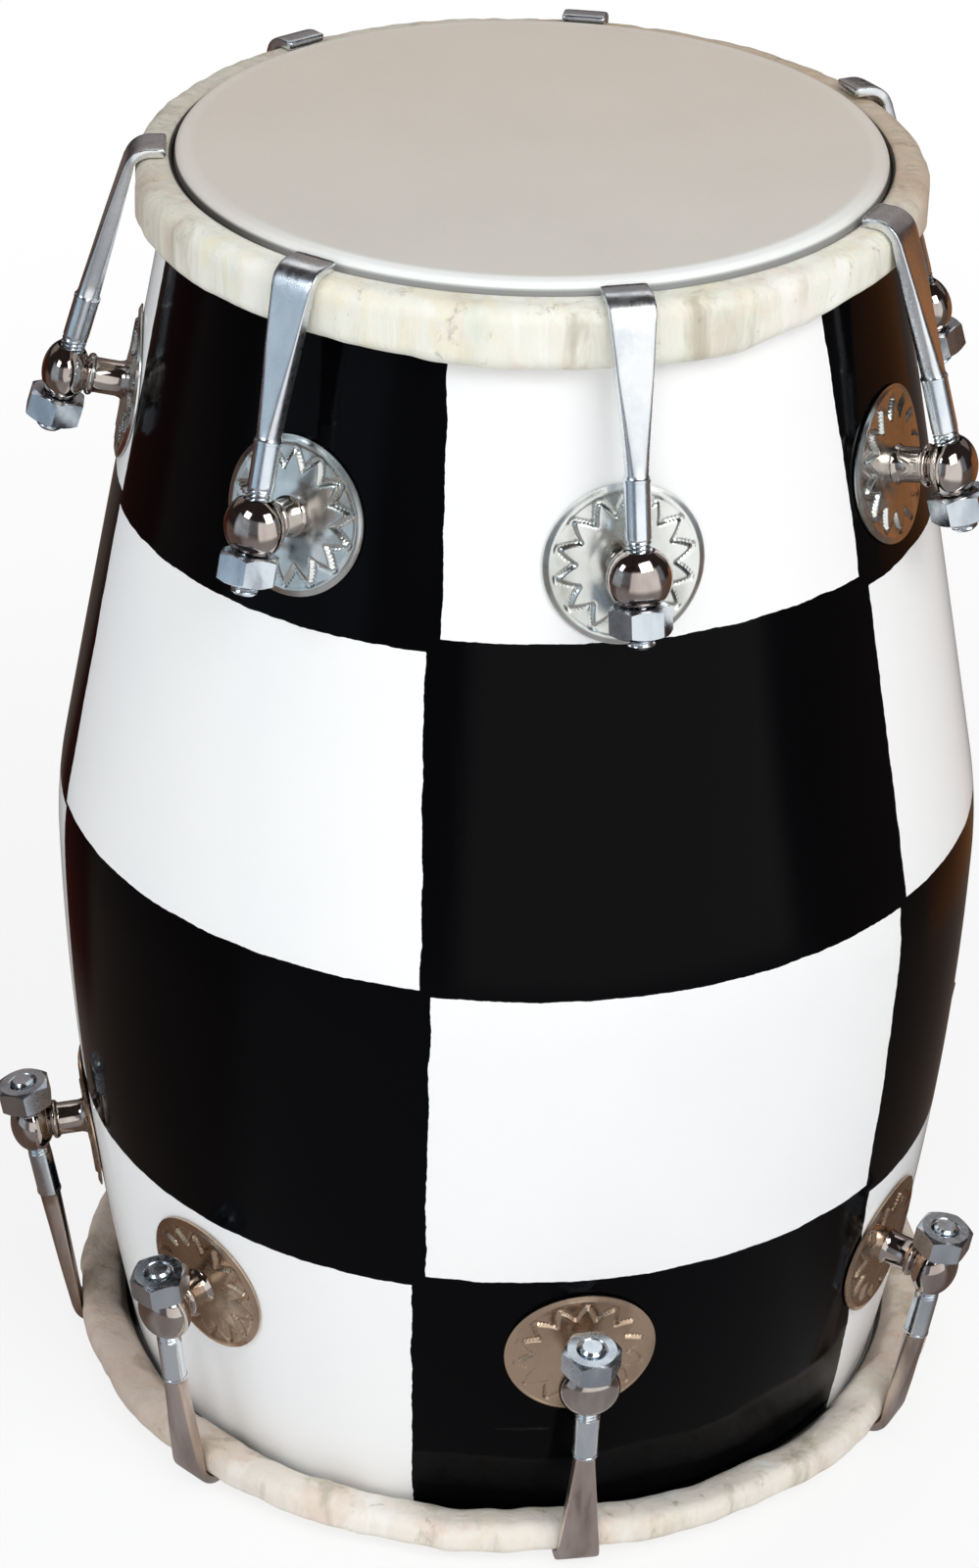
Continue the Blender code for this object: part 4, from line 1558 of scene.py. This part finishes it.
@dataclass(frozen=True)
class ReflectedRoom:
    """Cards round the drum that only reflections see: a brown floor and dark, warm walls.

    The windows are openings in the cards, through which the white background is reflected.
    """

    radius: float = 6.0
    above_floor: float = 0.0006
    middle: float = 0.2
    dark: Colour = (0.035, 0.028, 0.027)
    patches: tuple[Patch, ...] = (
        Patch((0.16, 0.12, 0.10), 0, 200, -100, -4, 3),
        Patch((0.34, 0.33, 0.34), 5, 62, -62, -8, 8),
        Patch((0.22, 0.24, 0.27), 0, 84, -4, 30, 3),
        Patch((0.50, 0.60, 0.69), -60, 20, -9, 26, 4),
        Patch((0.34, 0.14, 0.055), 125, 17, -27, 4, 3),
        Patch((0.07, 0.018, 0.012), -126, 14, -34, 4, 4),
        Patch((0.28, 0.24, 0.23), 180, 60, 14, 40, 4),
    )
    windows: tuple[Patch, ...] = (
        Patch((1.0, 1.0, 1.0), 26, 38, -13, 30, 4),
        Patch((1.0, 1.0, 1.0), 180, 42, 44, 62, 3),
    )

    def build(self) -> None:
        """Make the cards as one dome on the floor."""
        shape = bmesh.new()
        bmesh.ops.create_uvsphere(shape, u_segments=48, v_segments=24, radius=self.radius)
        displaced(shape, lambda point: Vector((point.x, point.y, max(point.z, self.above_floor))))
        room = bpy.data.objects.new("reflected_room", as_mesh(shape, "reflected_room"))
        made = Material("reflected_room")
        radius, angle = made.around()
        height = made.math("SUBTRACT", made.axes()[2], self.middle)
        elevation = made.math("DEGREES", made.math("ARCTAN2", height, radius))
        shade: object = self.dark
        for patch in self.patches:
            shade = made.mix(patch.share(made, angle, elevation), shade, patch.colour)
        opening: Operand = 0.0
        for window in self.windows:
            opening = made.math("MAXIMUM", window.share(made, angle, elevation), opening)
        glow = made.node("ShaderNodeEmission")
        made.feed(glow.inputs["Color"], shade)
        made.feed(glow.inputs["Strength"], made.ease(made.noise(0.7, 3.0), 0.35, 0.65, 0.75, 1.0))
        hole = made.node("ShaderNodeBsdfTransparent")
        made.blend(opening, glow.outputs[0], hole.outputs[0])
        room.data.materials.append(made.data)
        room.visible_camera = False
        room.visible_diffuse = False
        room.visible_transmission = False
        room.visible_shadow = False
        bpy.context.scene.collection.objects.link(room)


def hang_light(
    data: bpy.types.Light, at: tuple[float, float, float], way: Vector
) -> bpy.types.Object:
    """Hang a light.

    Args:
        data: The light.
        at: Where it hangs.
        way: The direction in which it shines.

    Returns:
        The light's object.
    """
    lamp = bpy.data.objects.new(data.name, data)
    turn = way.to_track_quat("-Z", "Y").to_matrix().to_4x4()
    lamp.matrix_world = Matrix.Translation(at) @ turn
    bpy.context.scene.collection.objects.link(lamp)
    return lamp


@dataclass(frozen=True)
class SoftLamp:
    """A soft area lamp that points at the drum's middle."""

    name: str
    at: tuple[float, float, float]
    power: float
    width: float
    height: float
    colour: Colour = (1.0, 1.0, 1.0)
    aim_height: float = 0.22

    def hang(self) -> None:
        """Hang the lamp."""
        data = bpy.data.lights.new(self.name, "AREA")
        data.shape = "RECTANGLE"
        data.size = self.width
        data.size_y = self.height
        data.energy = self.power
        data.color = self.colour
        way = Vector((0.0, 0.0, self.aim_height)) - Vector(self.at)
        hang_light(data, self.at, way)


@dataclass(frozen=True)
class LowSun:
    """A weak, very soft light from low in front, which reflections leave out."""

    name: str = "low"
    strength: float = 0.52
    spread_degrees: float = 28.0
    way: tuple[float, float, float] = (0.20, 0.95, -0.27)

    def hang(self) -> None:
        """Hang the light."""
        data = bpy.data.lights.new(self.name, "SUN")
        data.energy = self.strength
        data.angle = math.radians(self.spread_degrees)
        hang_light(data, (0.0, 0.0, 0.0), Vector(self.way)).visible_glossy = False


KEY_LAMP = SoftLamp("key", (0.72, -1.03, 1.40), power=11.2, width=0.95, height=0.80)
FILL_LAMP = SoftLamp(
    "fill", (-1.05, -0.75, 1.25), power=4.2, width=0.45, height=0.45, colour=(0.82, 0.91, 1.0)
)


@dataclass(frozen=True)
class Studio:
    """A pale floor, soft light and the camera at the photograph's angle."""

    camera_at: tuple[float, float, float] = (0.0, -1.2643, 0.9266)
    down: float = 0.51829
    turn: float = -0.00701
    roll: float = 0.02151
    focal_pixels: float = 4520.0
    image_height: float = 1600.0
    sensor: float = 36.0
    ambient: float = 0.50
    floor_size: float = 9.0
    floor_colour: Colour = (0.95, 0.95, 0.95)
    shadow_share: float = 0.20
    shadow_fade: tuple[float, float] = (0.22, 1.1)

    def floor(self) -> None:
        """Lay the floor, which keeps a share of the drum's shadow and shows white further out."""
        shape = bmesh.new()
        bmesh.ops.create_grid(shape, x_segments=1, y_segments=1, size=self.floor_size)
        floor = bpy.data.objects.new("floor", as_mesh(shape, "floor"))
        made = Material("pale_floor")
        made.colour(self.floor_colour)
        made.rough(0.9)
        made.constant("Specular IOR Level", 0.0)
        path = made.node("ShaderNodeLightPath")
        seen = made.math("MAXIMUM", path.outputs["Is Camera Ray"], path.outputs["Is Glossy Ray"])
        seen = made.math("MAXIMUM", seen, path.outputs["Is Transmission Ray"])
        glow = made.node("ShaderNodeEmission")
        share = made.ease(made.around()[0], *self.shadow_fade, 1.0 - self.shadow_share, 1.0)
        white = made.math("MULTIPLY", seen, share)
        made.blend(white, made.shader.outputs[0], glow.outputs[0])
        floor.data.materials.append(made.data)
        bpy.context.scene.collection.objects.link(floor)

    def world(self) -> None:
        """Light the drum evenly from the world, which the camera sees as white."""
        world = bpy.data.worlds.new("studio")
        bpy.context.scene.world = world
        world.use_nodes = True
        tree = world.node_tree
        light = tree.nodes["Background"]
        light.inputs["Color"].default_value = (1.0, 1.0, 1.0, 1.0)
        light.inputs["Strength"].default_value = self.ambient
        shown = tree.nodes.new("ShaderNodeBackground")
        shown.inputs["Color"].default_value = (1.0, 1.0, 1.0, 1.0)
        shown.inputs["Strength"].default_value = 1.0
        path = tree.nodes.new("ShaderNodeLightPath")
        seen = path.outputs["Is Camera Ray"]
        for name in ("Is Glossy Ray", "Is Transmission Ray"):
            either = tree.nodes.new("ShaderNodeMath")
            either.operation = "MAXIMUM"
            tree.links.new(seen, either.inputs[0])
            tree.links.new(path.outputs[name], either.inputs[1])
            seen = either.outputs[0]
        mixed = tree.nodes.new("ShaderNodeMixShader")
        tree.links.new(seen, mixed.inputs[0])
        tree.links.new(light.outputs[0], mixed.inputs[1])
        tree.links.new(shown.outputs[0], mixed.inputs[2])
        tree.links.new(mixed.outputs[0], tree.nodes["World Output"].inputs["Surface"])

    def camera(self) -> None:
        """Stand the camera where the photograph was taken."""
        ahead = Vector(
            (
                math.sin(self.turn) * math.cos(self.down),
                math.cos(self.turn) * math.cos(self.down),
                -math.sin(self.down),
            )
        )
        level = ahead.cross(Vector((0, 0, 1))).normalized()
        upright = level.cross(ahead)
        right = math.cos(self.roll) * level + math.sin(self.roll) * upright
        up = -math.sin(self.roll) * level + math.cos(self.roll) * upright
        data = bpy.data.cameras.new("camera")
        data.sensor_width = self.sensor
        data.lens = self.focal_pixels * self.sensor / self.image_height
        camera = bpy.data.objects.new("camera", data)
        turn = Matrix((right, up, -ahead)).transposed().to_4x4()
        camera.matrix_world = Matrix.Translation(self.camera_at) @ turn
        bpy.context.scene.collection.objects.link(camera)
        bpy.context.scene.camera = camera

    def build(self) -> None:
        """Set up the studio."""
        self.floor()
        self.world()
        ReflectedRoom().build()
        for light in (KEY_LAMP, FILL_LAMP, LowSun()):
            light.hang()
        self.camera()
        bpy.context.scene.view_settings.view_transform = "Standard"


def main() -> None:
    """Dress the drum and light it."""
    logging.basicConfig(level=logging.INFO, format="%(message)s")
    noise.seed_set(HAMMER_SEED)
    shop = Workshop()
    Studio().build()
    Barrel().build(shop)
    TREBLE_HEAD.build(shop)
    BASS_HEAD.build(shop)
    LoadingPaste().build(shop)
    for end in (TREBLE, BASS):
        for station in stations(end):
            HookBolt(station).build(shop)
            Nut(station).build(shop)
            EyePost(station).build(shop)
            Rosette(station).build(shop)


if __name__ == "__main__":
    main()
